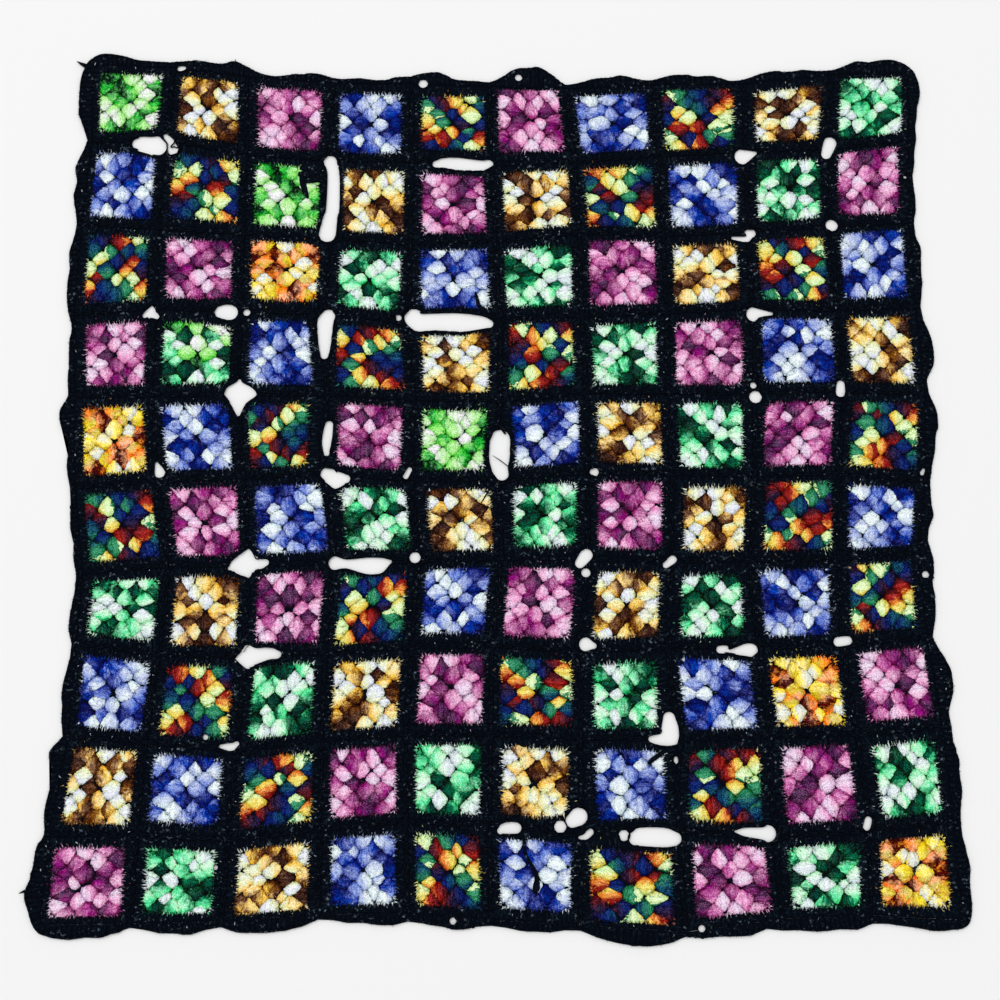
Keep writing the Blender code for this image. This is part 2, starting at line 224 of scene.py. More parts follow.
# How each square's coloured yarn lies off its even place: (right, away, wider, taller),
# in hundredths of a square's side.
NUDGES = (
    ((-2, 0, 0, 0), (1, 0, 0, 1), (1, -2, -2, 0), (-2, -3, 0, 0), (3, 0, 2, -3),
     (0, 6, 1, 3), (0, -1, 2, 1), (-2, -1, 1, 5), (1, -1, 0, -2), (2, 2, 1, 3)),
    ((0, -3, 2, 0), (3, 0, 2, -1), (1, 0, 0, 0), (3, -2, 0, 0), (2, -2, 0, -1),
     (2, -1, 1, 0), (1, -2, 2, 1), (0, -3, 1, 0), (1, -2, 0, 0), (-1, 2, -1, 2)),
    ((0, -2, 0, 0), (0, 0, 0, -1), (1, 3, 1, 0), (2, -2, -1, -1), (1, 0, 0, 1),
     (-1, 0, 2, -2), (0, 1, 1, 1), (-2, -4, -1, -1), (1, -1, 2, 0), (0, 1, 1, 1)),
    ((3, -2, -1, -2), (1, -2, 1, -3), (-2, 0, -3, 0), (1, -1, 1, 0), (0, -3, -1, -1),
     (-1, 2, 0, 2), (-1, -2, 0, 0), (-2, -3, 0, 0), (0, -1, 3, 0), (0, 0, 0, 0)),
    ((0, -1, 0, -1), (0, -1, 0, 0), (-6, -1, -4, 0), (0, -1, -1, 1), (-1, -1, -1, -1),
     (2, 1, 0, 0), (1, -1, 0, -1), (-2, -3, -1, 1), (0, -1, 1, 0), (1, -1, 1, 0)),
    ((1, 0, 2, 1), (2, 0, 1, 1), (4, 0, 3, 0), (5, -1, 0, -1), (4, -1, -2, 0),
     (1, 2, -3, -1), (0, 1, 0, 0), (3, -2, -1, -2), (3, 1, 0, 1), (0, -1, 0, 0)),
    ((3, 0, 0, -3), (1, -1, 0, 0), (1, 1, 0, 1), (-1, -3, 1, 1), (-1, 2, 0, -1),
     (-1, 1, 0, 0), (0, -1, -1, -1), (0, -3, -3, -3), (-2, 0, 0, 0), (-1, 2, 0, 1)),
    ((2, 0, 2, 0), (1, -1, -1, 0), (0, -1, -1, 2), (0, -2, 0, 0), (1, 1, 0, 1),
     (0, 0, 2, -1), (-1, -3, -4, -2), (-1, -2, 1, 0), (0, -1, 1, 0), (4, 1, 0, 0)),
    ((1, 0, 1, 1), (-1, 2, -1, -2), (1, -1, 1, 0), (0, -1, 0, 0), (0, -1, 0, 0),
     (0, -1, -2, -1), (1, -1, -3, 0), (0, 0, 0, -1), (1, 0, -1, 0), (2, -1, -3, -1)),
    ((-2, -3, 2, 0), (1, -2, -1, -1), (1, -4, -1, 1), (0, -1, -2, 0), (-1, -1, 0, 0),
     (0, 1, 1, -1), (0, -6, 2, 0), (1, 0, 0, 0), (0, -1, -1, -1), (-1, 0, 0, -1)),
)

# The yarn of each square, from the far row to the near one, left to right.
YARN_ROWS = (
    "lime brown pink blue multi pink blue multi brown green",
    "blue multi lime brown pink brown multi blue green pink",
    "multi pink gold green blue green pink brown multi blue",
    "pink lime blue multi brown multi green pink blue brown",
    "gold blue multi pink lime blue brown green pink multi",
    "multi pink blue green brown green pink brown multi blue",
    "green brown pink multi blue pink brown green blue multi",
    "blue multi green brown pink multi green blue gold pink",
    "brown blue multi pink green brown blue multi pink green",
    "pink green brown blue multi blue multi pink green gold",
)
JOINED_YARN = {(3, 1): "green"}  # (row, column): the yarn that finishes that square

# One side's clusters: (round, across, out) as shares of half the coloured area.
SIDE_CLUSTERS = (
    (1, 0.00, 0.36), (2, -0.31, 0.57), (2, 0.31, 0.57),
    (3, -0.63, 0.85), (3, 0.00, 0.83), (3, 0.63, 0.85),
)
CYCLE_STEP = 0.235  # share of the yarn's colour cycle that one cluster takes

# Loose strands of black yarn: (x, y, height, thickness) in mm along each.
LOOSE_STRANDS = {
    "gap_5_5": ((-4, 31, 2.4, 0.8), (5, 25, 2.8, 1.5), (13, 19, 2.6, 1.6), (23, 11, 2.4, 1.6)),
    "gap_5_5_top": ((4, 84, 3.4, 3.0), (9, 76, 3.4, 4.2), (15, 67, 2.6, 3.2)),
    "gap_1_2": (
        (-553.8, 574.7, 3.4, 1.6), (-550.8, 571.2, 2.8, 1.5), (-545.5, 563.6, 2.4, 1.6),
        (-542.7, 553.0, 2.4, 1.7), (-541.7, 536.7, 3.2, 1.8),
    ),
    "corner_7_2": ((-389, -280, 3.0, 1.1), (-384, -272, 2.6, 1.1), (-377, -265, 2.8, 1.1)),
    "square_10_6": (
        (43, -561, 4.6, 6.0), (44, -579, 6.0, 5.2), (49, -593, 6.4, 5.4), (58, -607, 6.4, 6.0),
        (62, -621, 6.2, 7.5), (61, -634, 5.0, 12.0), (59, -642, 4.0, 6.0),
    ),
    "square_9_7": (
        (233, -450, 6.0, 5.5), (238, -445, 6.4, 7.4), (247, -439, 6.4, 7.4),
        (258, -431, 5.2, 7.4),
    ),
    "square_3_5": (
        (-33, 301, 6.0, 3.5), (-30, 290, 6.2, 6.0), (-27, 279, 5.6, 7.5), (-16, 269, 4.4, 7.5),
    ),
    "square_2_3": (
        (-319, 503, 6.0, 9.0), (-317, 491, 6.4, 11.0), (-314, 480, 6.4, 10.0),
        (-311, 472, 5.6, 8.0), (-308, 465, 4.4, 4.0),
    ),
    "square_2_3_corner": (
        (-322, 517, 5.0, 8.0), (-313, 516, 6.4, 13.0), (-301, 516, 6.2, 14.0),
        (-288, 515, 4.4, 10.0),
    ),
    "square_2_3_middle": (
        (-324, 506, 5.2, 8.0), (-312, 506, 6.4, 13.0), (-301, 506, 6.2, 14.0),
        (-288, 505, 4.4, 12.0),
    ),
    "square_2_3_end": (
        (-317, 495, 5.6, 9.0), (-309, 495, 6.4, 12.0), (-297, 496, 6.2, 12.0),
        (-287, 496, 4.4, 8.0),
    ),
    "square_6_5": (
        (-9, -15, 4.4, 3.0), (-12, -27, 5.8, 2.8), (-17, -36, 6.0, 2.4), (-23, -46, 5.4, 1.6),
    ),
    "tail_far_left": ((-679, 697, 3.0, 9.0), (-690, 702, 2.8, 6.5), (-700, 708, 1.4, 1.0)),
    "tail_left": ((-696, -639, 2.8, 9.0), (-705, -639, 2.4, 5.0), (-714, -642, 1.2, 1.0)),
    "tail_far": ((-436, 696, 2.8, 5.0), (-436, 711, 1.4, 1.0)),
}

# Pale fibres caught in the black yarn: (x, y) in mm.
PALE_FIBRES = (
    (-678, 514), (-679, 477), (-601, 695), (-674, 203), (-666, 32), (-535, 264),
    (276, 257), (549, 276), (574, 620), (-648, -502), (-662, -470), (-677, -573),
    (-683, -608), (-631, -568), (-553, -552), (-389, -686), (-460, -691), (699, -656),
    (692, -337), (686, -307), (-37, -265), (-236, -86), (260, -433), (-669, 702), (-17, -23),
)

# Linear colours of each yarn: five from palest to deepest, and nine round the multi yarn.
TONES = ("palest", "pale", "middle", "deep", "deepest")
MULTI_TONES = (
    "green", "teal", "blue", "purple", "maroon", "red", "orange", "yellow", "pale yellow",
)
YARN_COLOURS = {
    "pink": (
        (0.691, 0.551, 0.687), (0.762, 0.417, 0.61), (0.469, 0.156, 0.335),
        (0.208, 0.0289, 0.139), (0.058, 0.0167, 0.0587),
    ),
    "blue": (
        (0.712, 0.784, 0.794), (0.486, 0.544, 0.698), (0.219, 0.285, 0.6),
        (0.0245, 0.0455, 0.292), (0.0008, 0.00275, 0.0825),
    ),
    "green": (
        (0.65, 0.706, 0.738), (0.597, 0.811, 0.623), (0.194, 0.74, 0.391),
        (0.0008, 0.0835, 0.0307), (0.0008, 0.0164, 0.0114),
    ),
    "lime": (
        (0.777, 0.759, 0.792), (0.48, 0.742, 0.374), (0.344, 0.733, 0.234),
        (0.0796, 0.46, 0.0957), (0.0008, 0.013, 0.00395),
    ),
    "brown": (
        (0.682, 0.709, 0.772), (0.728, 0.759, 0.49), (0.837, 0.579, 0.194),
        (0.153, 0.0606, 0.0254), (0.0203, 0.00537, 0.00351),
    ),
    "gold": (
        (0.67, 0.697, 0.659), (0.961, 0.792, 0.176), (0.561, 0.452, 0.094), (0.97, 0.385, 0.168),
        (0.0445, 0.0008, 0.0008),
    ),
    "multi": (
        (0.0235, 0.209, 0.0945), (0.0027, 0.044, 0.086), (0.0011, 0.0083, 0.097),
        (0.0095, 0.0042, 0.0223), (0.070, 0.0051, 0.0095), (0.25, 0.0081, 0.0061),
        (0.70, 0.24, 0.040), (0.73, 0.60, 0.120), (0.63, 0.78, 0.43),
    ),
}


# ---------------------------------------------------------------- sizes and colours


def length(name, description, default):
    return bpy.props.FloatProperty(
        name=name, description=description, default=default, unit="LENGTH", min=0.0, precision=4,
    )


def colour(name, default):
    return bpy.props.FloatVectorProperty(
        name=name, description=name + ", as linear colour", default=default,
        subtype="COLOR", min=0.0, max=1.0,
    )


class BlanketSizes(bpy.types.PropertyGroup):
    cluster_base: length("Cluster base", "Height where a cluster meets its neighbours", 0.0017)
    cluster_crown: length("Cluster crown", "Height of a cluster's crown", 0.0052)
    overlap: length("Overlap", "How far a cluster swells over the line to its neighbour", 0.0023)
    tooth: length("Tooth", "How far coloured stitch tops reach over the black yarn", 0.0050)
    black_stitch: length("Black stitch", "Width of a black double stitch at its top", 0.0094)
    join_strand: length("Join strand", "Thickness of the strands that join the squares", 0.0038)
    edging_stitch: length("Edging stitch", "Width of an edging stitch", 0.0088)
    rim_strand: length("Rim strand", "Thickness of the yarn along an open edge", 0.0026)
    body_share: bpy.props.FloatProperty(
        name="Body share", description="Thickness of the cloth under the stitches, as a share",
        default=0.6, min=0.1, max=1.0, subtype="FACTOR",
    )


class BlanketColours(bpy.types.PropertyGroup):
    black: colour("Black", (0.0003, 0.0011, 0.0038))
    black_fibre: colour("Black, fibres", (0.0135, 0.0315, 0.0500))
    black_lit: colour("Black, lit fibres", (0.130, 0.175, 0.215))
    fibre: colour("Pale caught fibre", (0.42, 0.44, 0.46))
    floor: colour("Floor", (0.735, 0.735, 0.735))


for yarn, shades in YARN_COLOURS.items():
    tones = MULTI_TONES if yarn == "multi" else TONES
    for number, (tone, shade) in enumerate(zip(tones, shades), 1):
        name = f"{yarn.title()}, {tone}"
        BlanketColours.__annotations__[f"{yarn}_{number}"] = colour(name, shade)


def sizes():
    return bpy.context.scene.blanket_sizes


def colours():
    return bpy.context.scene.blanket_colours


# ---------------------------------------------------------------- shader expressions


class Term:
    """A shader socket that Python's operators work on; numbers go in as they are."""

    def __init__(self, shading, socket):
        self.shading, self.socket = shading, socket

    def _with(self, operation, first, second):
        return self.shading.node("ShaderNodeMath", {"operation": operation}, {0: first, 1: second})

    def __add__(self, other):
        return self._with("ADD", self, other)

    def __sub__(self, other):
        return self._with("SUBTRACT", self, other)

    def __rsub__(self, other):
        return self._with("SUBTRACT", other, self)

    def __mul__(self, other):
        return self._with("MULTIPLY", self, other)

    __radd__, __rmul__ = __add__, __mul__


class Shading:
    """The nodes of one material."""

    def __init__(self, name):
        self.material = bpy.data.materials.new(name)
        self.material.use_nodes = True
        self.tree = self.material.node_tree
        self.shader = self.tree.nodes["Principled BSDF"]

    def feed(self, socket, value):
        if isinstance(value, Term):
            self.tree.links.new(value.socket, socket)
        else:
            socket.default_value = value

    def node(self, kind, settings=(), inputs=(), output=0):
        made = self.tree.nodes.new(kind)
        for key, value in dict(settings).items():
            if key == "stops":
                self.set_stops(made.color_ramp, value)
            else:
                setattr(made, key, value)
        for key, value in dict(inputs).items():
            self.feed(made.inputs[key], value)
        return Term(self, made.outputs[output])

    @staticmethod
    def set_stops(ramp, stops):
        while len(ramp.elements) < len(stops):
            ramp.elements.new(1.0)
        for element, (place, shade) in zip(ramp.elements, stops):
            element.position = place
            element.color = (*shade, 1.0)

    def reading(self, name, output="Fac"):
        return self.node("ShaderNodeAttribute", {"attribute_name": name}, output=output)

    def mixed(self, factor, first, second, blend="MIX"):
        settings = {"data_type": "RGBA", "blend_type": blend}
        return self.node("ShaderNodeMix", settings, {0: factor, 6: first, 7: second}, output=2)

    def noise(self, where, scale, detail=2.0):
        inputs = {"Vector": where, "Scale": scale, "Detail": detail}
        return self.node("ShaderNodeTexNoise", inputs=inputs)

    def between(self, value, low, high):
        inputs = {"Value": value, "From Min": low, "From Max": high}
        return self.node("ShaderNodeMapRange", {"interpolation_type": "SMOOTHSTEP"}, inputs)

    def bump(self, height, distance, strength=1.0, under=None):
        inputs = {"Strength": strength, "Distance": distance, "Height": height}
        if under:
            inputs["Normal"] = under
        return self.node("ShaderNodeBump", inputs=inputs)

    def finish(self, colour_term, normal, roughness, sheen, gloss):
        self.feed(self.shader.inputs["Base Color"], colour_term)
        self.feed(self.shader.inputs["Normal"], normal)
        for name, value in (
            ("Roughness", roughness), ("Sheen Weight", sheen), ("Sheen Roughness", 0.5),
            ("Specular IOR Level", gloss),
        ):
            self.shader.inputs[name].default_value = value
        return self.material


def yarn_relief(shading):
    """Streaks of fibre along a stitch, the fine fuzz on it, and the bump of both."""
    place = shading.node("ShaderNodeTexCoord", output="Object")
    streaks = shading.noise(shading.reading("lay", "Vector"), 2.6, 3.0)
    fuzz = shading.noise(place, 620.0, 3.0)
    normal = shading.bump(fuzz, 0.0009, 0.8, shading.bump(streaks, 0.0011, 0.9))
    return place, streaks, fuzz, normal


# The nine colours of the multi yarn: their shares of its length, and how deep each is.
MULTI_SHARES = (0.14, 0.10, 0.175, 0.085, 0.07, 0.12, 0.04, 0.125, 0.145)
MULTI_DEEP = (0.45, 0.7, 0.85, 1.0, 0.85, 0.6, 0.35, 0.1, 0.0)


def ring_of_shades(name):
    """Stops of a yarn's colours: pale to deep, or right round for the multi yarn."""
    count = len(YARN_COLOURS[name])
    shades = [tuple(getattr(colours(), f"{name}_{k}")) for k in range(1, count + 1)]
    if name != "multi":
        return list(zip((0.05, 0.275, 0.5, 0.725, 0.95), shades))
    stops, start = [], 0.0
    for share, shade in zip(MULTI_SHARES, shades):
        soft = share * 0.34
        stops += [(start + soft, shade), (start + share - soft, shade)]
        start += share
    return stops


def coloured_yarn(name):
    """Shaded yarn: its colour follows the yarn's own length, with painted shade that darkens it in
    the creases.
    """
    shading = Shading(name + "_yarn")
    place, streaks, fuzz, normal = yarn_relief(shading)
    drift = shading.noise(place, 110.0, 2.0)
    multi = name == "multi"
    wander = 0.5 if multi else 1.0
    at = shading.reading("yarn_at") + (drift - 0.5) * (0.22 * wander)
    at += (streaks - 0.5) * (0.16 * wander)
    turned = {"operation": "FRACT" if multi else "PINGPONG"}
    share = shading.node("ShaderNodeMath", turned, {0: at, 1: 0.5})
    if not multi:
        share *= 2.0
    shade = shading.node("ShaderNodeValToRGB", {"stops": ring_of_shades(name)}, {"Fac": share})
    # Painted shade: the gamma below darkens and deepens the colour where a cluster is low, in its
    # creases, and in the fuzz and streaks of its fibres.
    height = shading.reading("rise") + (fuzz - 0.5) * 0.5 + (streaks - 0.5) * 0.3
    grain = shading.between(fuzz, 0.36, 0.64)
    depth = 2.35 - shading.between(height, 0.30, 1.05) * 1.2 - grain * 0.5
    if not multi:
        vivid = shading.between(shading.noise(place, 45.0, 3.0), 0.36, 0.64) * 0.24 + 0.94
        inputs = {"Color": shade, "Saturation": vivid}
        shade = shading.node("ShaderNodeHueSaturation", inputs=inputs)
    deep = shading.node("ShaderNodeGamma", inputs={"Color": shade, "Gamma": depth})
    # Painted light and shade on the streaks and fuzz of the fibres, multiplied over the colour.
    light = (shading.between(streaks, 0.34, 0.66) * 0.14 + 0.93) * (grain * 0.24 + 0.88)
    fibre_light_and_shade = shading.node("ShaderNodeCombineColor", inputs={0: light, 1: light, 2: light})
    return shading.finish(shading.mixed(1.0, deep, fibre_light_and_shade, "MULTIPLY"), normal, 0.95, 0.0, 0.08)


def black_yarn():
    """Black yarn with a navy cast and a few fibres that catch the light."""
    held = colours()
    shading = Shading("black_yarn")
    place, streaks, fuzz, normal = yarn_relief(shading)
    caught = shading.between(streaks * 0.6 + fuzz * 0.4, 0.49, 0.66)
    bright = shading.between(shading.noise(place, 190.0, 5.0), 0.605, 0.705)
    near = shading.reading("rise")
    tone = shading.mixed(caught * (near * 0.7 + 0.3), (*held.black, 1.0), (*held.black_fibre, 1.0))
    patchy = shading.between(shading.noise(place, 22.0, 2.0), 0.40, 0.62)
    tone = shading.mixed(bright * patchy * (near * 0.4 + 0.6), tone, (*held.black_lit, 1.0))
    return shading.finish(tone, normal, 0.95, 0.0, 0.05)


def plain_yarn(name, shade):
    shading = Shading(name)
    place = shading.node("ShaderNodeTexCoord", output="Object")
    fuzz = shading.noise(place, 900.0, 3.0)
    tone = shading.mixed(fuzz, (*[c * 0.7 for c in shade], 1.0), (*shade, 1.0))
    return shading.finish(tone, shading.bump(fuzz, 0.0005), 0.95, 0.1, 0.2)


def material_once(name, make, *rest):
    return bpy.data.materials.get(name) or make(*rest)


# ---------------------------------------------------------------- stitch shapes


class Shape:
    """A small closed mesh that is repeated: its points are (across, along, up)."""

    def __init__(self, bm):
        bm.verts.index_update()
        self.points = np.array([v.co[:] for v in bm.verts])
        self.loops = np.array([v.index for f in bm.faces for v in f.verts])
        self.starts = np.cumsum([0] + [len(f.verts) for f in bm.faces[:-1]])
        bm.free()


def turned_along(bm):
    """Stands a shape made about Z along Y, so that +Y is the way the yarn runs."""
    turn = ((1, 0, 0, 0), (0, 0, 1, 0), (0, -1, 0, 0), (0, 0, 0, 1))
    bmesh.ops.transform(bm, matrix=Matrix(turn), verts=bm.verts[:])


def stitch_shape(sides=4):
    """A plump closed strand, one unit long, with rounded ends."""
    bm = bmesh.new()
    bmesh.ops.create_uvsphere(bm, u_segments=sides, v_segments=4, radius=1.0)
    for v in bm.verts:
        if 0.1 < abs(v.co.z) < 0.9:
            v.co = (v.co.x * 1.24, v.co.y * 1.24, math.copysign(0.70, v.co.z))
    bmesh.ops.rotate(bm, matrix=Matrix.Rotation(math.pi / sides, 3, "Z"), verts=bm.verts[:])
    turned_along(bm)
    for v in bm.verts:
        v.co.y = (v.co.y + 1) / 2
    return Shape(bm)


def tooth_shape():
    """A pointed tuft of fibre, one unit long."""
    bm = bmesh.new()
    bmesh.ops.create_cone(bm, cap_ends=True, segments=3, radius1=1.0, radius2=0.0, depth=1.0)
    bmesh.ops.remove_doubles(bm, verts=bm.verts[:], dist=1e-4)
    bmesh.ops.rotate(bm, matrix=Matrix.Rotation(-math.pi / 6, 3, "Z"), verts=bm.verts[:])
    turned_along(bm)
    for v in bm.verts:
        v.co.y += 0.5
    return Shape(bm)


TOPS = 0.64  # where the ridge of stitch tops lies along a cluster
CLUSTER_ACROSS = (-1.0, -0.86, -0.62, -CREASE, -0.15, 0.15, CREASE, 0.62, 0.86, 1.0)
CLUSTER_ALONG = (-1.0, -0.84, -0.5, 0.0, 0.42, TOPS, 0.84, 1.0)


def cluster_shape():
    """Three double stitches side by side, as one closed pillow with two creases."""
    bm = bmesh.new()
    across, along = len(CLUSTER_ACROSS) - 1, len(CLUSTER_ALONG) - 1
    bmesh.ops.create_grid(bm, x_segments=across, y_segments=along, size=1.0)
    for v in bm.verts:
        a = CLUSTER_ACROSS[round((v.co.x + 1) / 2 * across)]
        b = CLUSTER_ALONG[round((v.co.y + 1) / 2 * along)]
        v.co = (a, b, cluster_rise(a, b))
    rim = [e for e in bm.edges if e.is_boundary]
    under = bmesh.ops.extrude_edge_only(bm, edges=rim)["geom"]
    low = [v for v in under if isinstance(v, bmesh.types.BMVert)]
    bmesh.ops.pointmerge(bm, verts=low, merge_co=(0, 0, -0.3))
    bmesh.ops.recalc_face_normals(bm, faces=bm.faces[:])
    return Shape(bm)


def cluster_rise(a, b):
    """Height of a cluster from 0 at its rim to 1, with creases and a ridge of tops."""
    reach = max(abs(a), abs(b))
    crown = max(1 - reach**4, 0.0) ** 0.7
    crease = 0.83 if abs(abs(a) - CREASE) < 0.01 and abs(b) < 0.9 else 1.0
    return crown * crease * (0.93 if abs(b - TOPS) < 0.01 else 1.0)


def ruffle(shape):
    """+1 and -1 in turn round a cluster's rim, and half that on the line inside it."""
    column = np.searchsorted(CLUSTER_ACROSS, shape.points[:, 0] - 1e-4)
    row = np.searchsorted(CLUSTER_ALONG, shape.points[:, 1] - 1e-4)
    inward = np.minimum(
        np.minimum(column, len(CLUSTER_ACROSS) - 1 - column),
        np.minimum(row, len(CLUSTER_ALONG) - 1 - row),
    )
    return np.where((column + row) % 2, -1.0, 1.0) * np.array([1, 0.5, 0, 0, 0])[inward]


class Piece:
    """Many copies of small shapes, gathered into one mesh. Places are in mm."""

    def __init__(self, name):
        self.name, self.batches = name, []

    def add(self, shape, points, yarn_at=0.0, rise=None, lay=None):
        """points is (copies, points of the shape, 3); a copy with no place is left out."""
        full = points.shape[:2]
        placed = ~np.isnan(points).any(axis=(1, 2))
        up = shape.points[:, 2]
        rise = np.clip(up, 0, 1) if rise is None else rise
        lay = shape.points if lay is None else lay
        self.batches.append((
            shape, points[placed],
            np.broadcast_to(np.asarray(yarn_at, float), full)[placed],
            np.broadcast_to(rise, full)[placed],
            np.broadcast_to(lay, (*full, 3))[placed],
        ))

    def build(self, material, slot):
        parts = []
        base = loop_base = 0
        for shape, points, yarn_at, rise, lay in self.batches:
            copies, count = points.shape[:2]
            step = np.arange(copies)[:, None]
            parts.append((
                points.reshape(-1, 3) * MM, (base + shape.loops + count * step).ravel(),
                (loop_base + shape.starts + len(shape.loops) * step).ravel(),
                yarn_at.ravel(), rise.ravel(), lay.ravel(),
            ))
            base += copies * count
            loop_base += copies * len(shape.loops)
        coords, loops, starts, ats, rises, lays = (np.concatenate(part) for part in zip(*parts))
        mesh = bpy.data.meshes.new(self.name)
        mesh.vertices.add(len(coords))
        mesh.loops.add(len(loops))
        mesh.polygons.add(len(starts))
        mesh.vertices.foreach_set("co", coords.astype(np.float32).ravel())
        mesh.loops.foreach_set("vertex_index", loops.astype(np.int32))
        mesh.polygons.foreach_set("loop_start", starts.astype(np.int32))
        mesh.update(calc_edges=True)
        if mesh.validate():
            raise RuntimeError(f"{self.name}: its mesh had faults")
        for name, kind, key, values in (
            ("yarn_at", "FLOAT", "value", ats), ("rise", "FLOAT", "value", rises),
            ("lay", "FLOAT_VECTOR", "vector", lays),
        ):
            attribute = mesh.attributes.new(name, kind, "POINT")
            attribute.data.foreach_set(key, values.astype(np.float32))
        mesh.shade_smooth()
        return shown(self.name, mesh, material)


def linked(name, data):
    obj = bpy.data.objects.new(name, data)
    bpy.context.scene.collection.objects.link(obj)
    return obj


def shown(name, mesh, material):
    obj = linked(name, mesh)
    mesh.materials.clear()
    mesh.materials.append(material)
    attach(obj, "root")
    return obj


# ---------------------------------------------------------------- places on the cloth

STEPS = np.arange(SQUARES + 1) - SQUARES / 2
CORNERS = np.stack([
    STEPS[None, :] * PITCH + np.array(CORNER_SHIFT_X, float) + MIDDLE[0],
    -STEPS[:, None] * PITCH + np.array(CORNER_SHIFT_Y, float) + MIDDLE[1],
], axis=-1)
CHAINS = [np.array(chain, float) + (*MIDDLE, 0.0) for chain in GAPS.values()]
COLOURED = 0.5 - BAND_SHARE  # half the coloured area, as a share of a square's side
SEAM = 0.5 / COLOURED  # the seam, in halves of the coloured area
NUDGED = np.array(NUDGES) / 100 / COLOURED


def in_squares(uv):
    """Places in mm on all the squares, row by row, as the first axis of uv counts them.

    uv holds (right, away) from a square's middle, in halves of its coloured area.
    """
    def each(table):
        return table.reshape(len(uv), *[1] * (uv.ndim - 2), -1)

    nudge = each(NUDGED)
    fade = ((SEAM - np.abs(uv)) / (SEAM - 1)).clip(0, 1)
    uv = uv + (nudge[..., :2] + nudge[..., 2:] * uv) * fade
    across, down = 0.5 + COLOURED * uv[..., :1], 0.5 - COLOURED * uv[..., 1:]
    far, near = (
        each(CORNERS[rows, :-1]) * (1 - across) + each(CORNERS[rows, 1:]) * across
        for rows in (slice(-1), slice(1, None))
    )
    return far * (1 - down) + near * down


def heading(turns):
    return np.stack([np.cos(turns), np.sin(turns)], axis=-1)


def right_of(ways):
    """Each direction, turned a quarter to the right."""
    return np.stack([ways[..., 1], -ways[..., 0]], axis=-1)


def unit(ways, least=1e-3):
    """Each direction at length 1; one shorter than least stays short."""
    return ways / np.maximum(np.linalg.norm(ways, axis=-1), least)[..., None]


def nearest(chain, points):
    """For each point, the nearest place on a gap's chain and the gap's half width there."""
    if len(chain) == 1:
        return np.broadcast_to(chain[0, :2], points.shape), np.full(len(points), chain[0, 2])
    a, step = chain[:-1], np.diff(chain, axis=0)
    squared = (step[:, :2] ** 2).sum(1)
    t = np.clip(((points[:, None] - a[:, :2]) * step[:, :2]).sum(2) / squared, 0, 1)
    on = a + step * t[..., None]
    best = ((points[:, None] - on[..., :2]) ** 2).sum(2).argmin(1)
    on = on[np.arange(len(points)), best]
    return on[:, :2], on[:, 2]


def by_gaps(points, margin):
    """Each gap's chain, the points within this many mm of it, and what nearest says of them."""
    for chain in CHAINS:
        low, high = chain[:, :2].min(0) - margin, chain[:, :2].max(0) + margin
        near = np.flatnonzero(((points > low) & (points < high)).all(1))
        if len(near):
            yield chain, near, *nearest(chain, points[near])


def pull(distance):
    """How much of a gap's spread reaches this far from it, in mm: from 1 to 0."""
    return np.clip((PULL_REACH - distance) / PULL_FADE, 0, 1)


def opened(points, anchors, spare=0.0):
    """Places spread off the gaps and this far round them, each on its anchor's side."""
    shape = points.shape
    moved = points.reshape(-1, 2).copy()
    held = np.broadcast_to(anchors, shape).reshape(-1, 2).copy()
    for chain, near, on, width in by_gaps(moved, PULL_REACH + 5):
        p, anchor = moved[near], held[near]
        root, root_width = nearest(chain, anchor)
        width = width + spare
        side = anchor - root
        off = np.maximum(np.linalg.norm(side, axis=1), 1e-6)
        side /= off[:, None]
        away = p - on
        gone = np.linalg.norm(away, axis=1)
        crossed = (away * side).sum(1) < 0
        outward = away / np.maximum(gone, 0.05)[:, None]
        way = np.where((crossed | (gone < 0.05))[:, None], side, outward)
        reach = np.where(crossed, width, np.hypot(gone, width))
        moved[near] += (on + way * reach[:, None] - p) * pull(gone)[:, None]
        held[near] += side * ((np.hypot(off, root_width) - off) * pull(off))[:, None]
    return moved.reshape(shape)


def inside_gaps(points):
    """How far each place lies inside the nearest gap's rim, in mm; zero outside."""
    flat = points.reshape(-1, 2)
    depth = np.zeros(len(flat))
    for _, near, on, width in by_gaps(flat, 20):
        depth[near] = np.maximum(depth[near], width - np.linalg.norm(flat[near] - on, axis=1))
    return depth.reshape(points.shape[:-1])


def laid(shape, start, end, anchor, width, height, thick=None, arch=0.0, taper=(1.0, 1.0)):
    """Copies of a strand from start to end, opened round the gaps; all in mm.

    height is a pair, at the start and at the end. A copy that would cross a gap is left
    out: its points have no place.
    """
    a, t, h = shape.points.T
    levels, which = np.unique(t.round(4), return_inverse=True)
    line = start[:, None] + (end - start)[:, None] * levels[:, None]
    shift = opened(line, anchor[:, None], float(np.mean(width)) * 0.4) - line
    line = line + shift
    between = np.concatenate([line, (line[:, 1:] + line[:, :-1]) / 2], axis=1)
    torn = np.linalg.norm(shift - shift[:, :1], axis=2).max(1) > TORN
    torn |= inside_gaps(between).max(1) > 1.0
    right = right_of(unit(line[:, -1] - line[:, 0]))
    width = np.broadcast_to(width, len(start))
    thick = width if thick is None else np.broadcast_to(thick, len(start))
    low, high = (np.broadcast_to(end_height, len(start))[:, None] for end_height in height)
    swell = taper[0] + (taper[1] - taper[0]) * t
    xy = line[:, which] + right[:, None] * (a * swell)[None, :, None] * width[:, None, None] / 2
    z = low + (high - low) * t + arch * np.sin(np.pi * t)
    z = z + (h * swell)[None] * thick[:, None] / 2
    points = np.concatenate([xy, z[..., None]], axis=2)
    points[torn] = np.nan
    return points


def add_strands(piece, stitch, rng, ends, anchor, width, height, rise=0.0, **more):
    """Adds stitches between the two ends, each with its own stretch of yarn."""
    points = laid(stitch, *ends, anchor, width, height, **more)
    piece.add(stitch, points, rise=rise, lay=strand_lay(stitch, rng, len(points)))


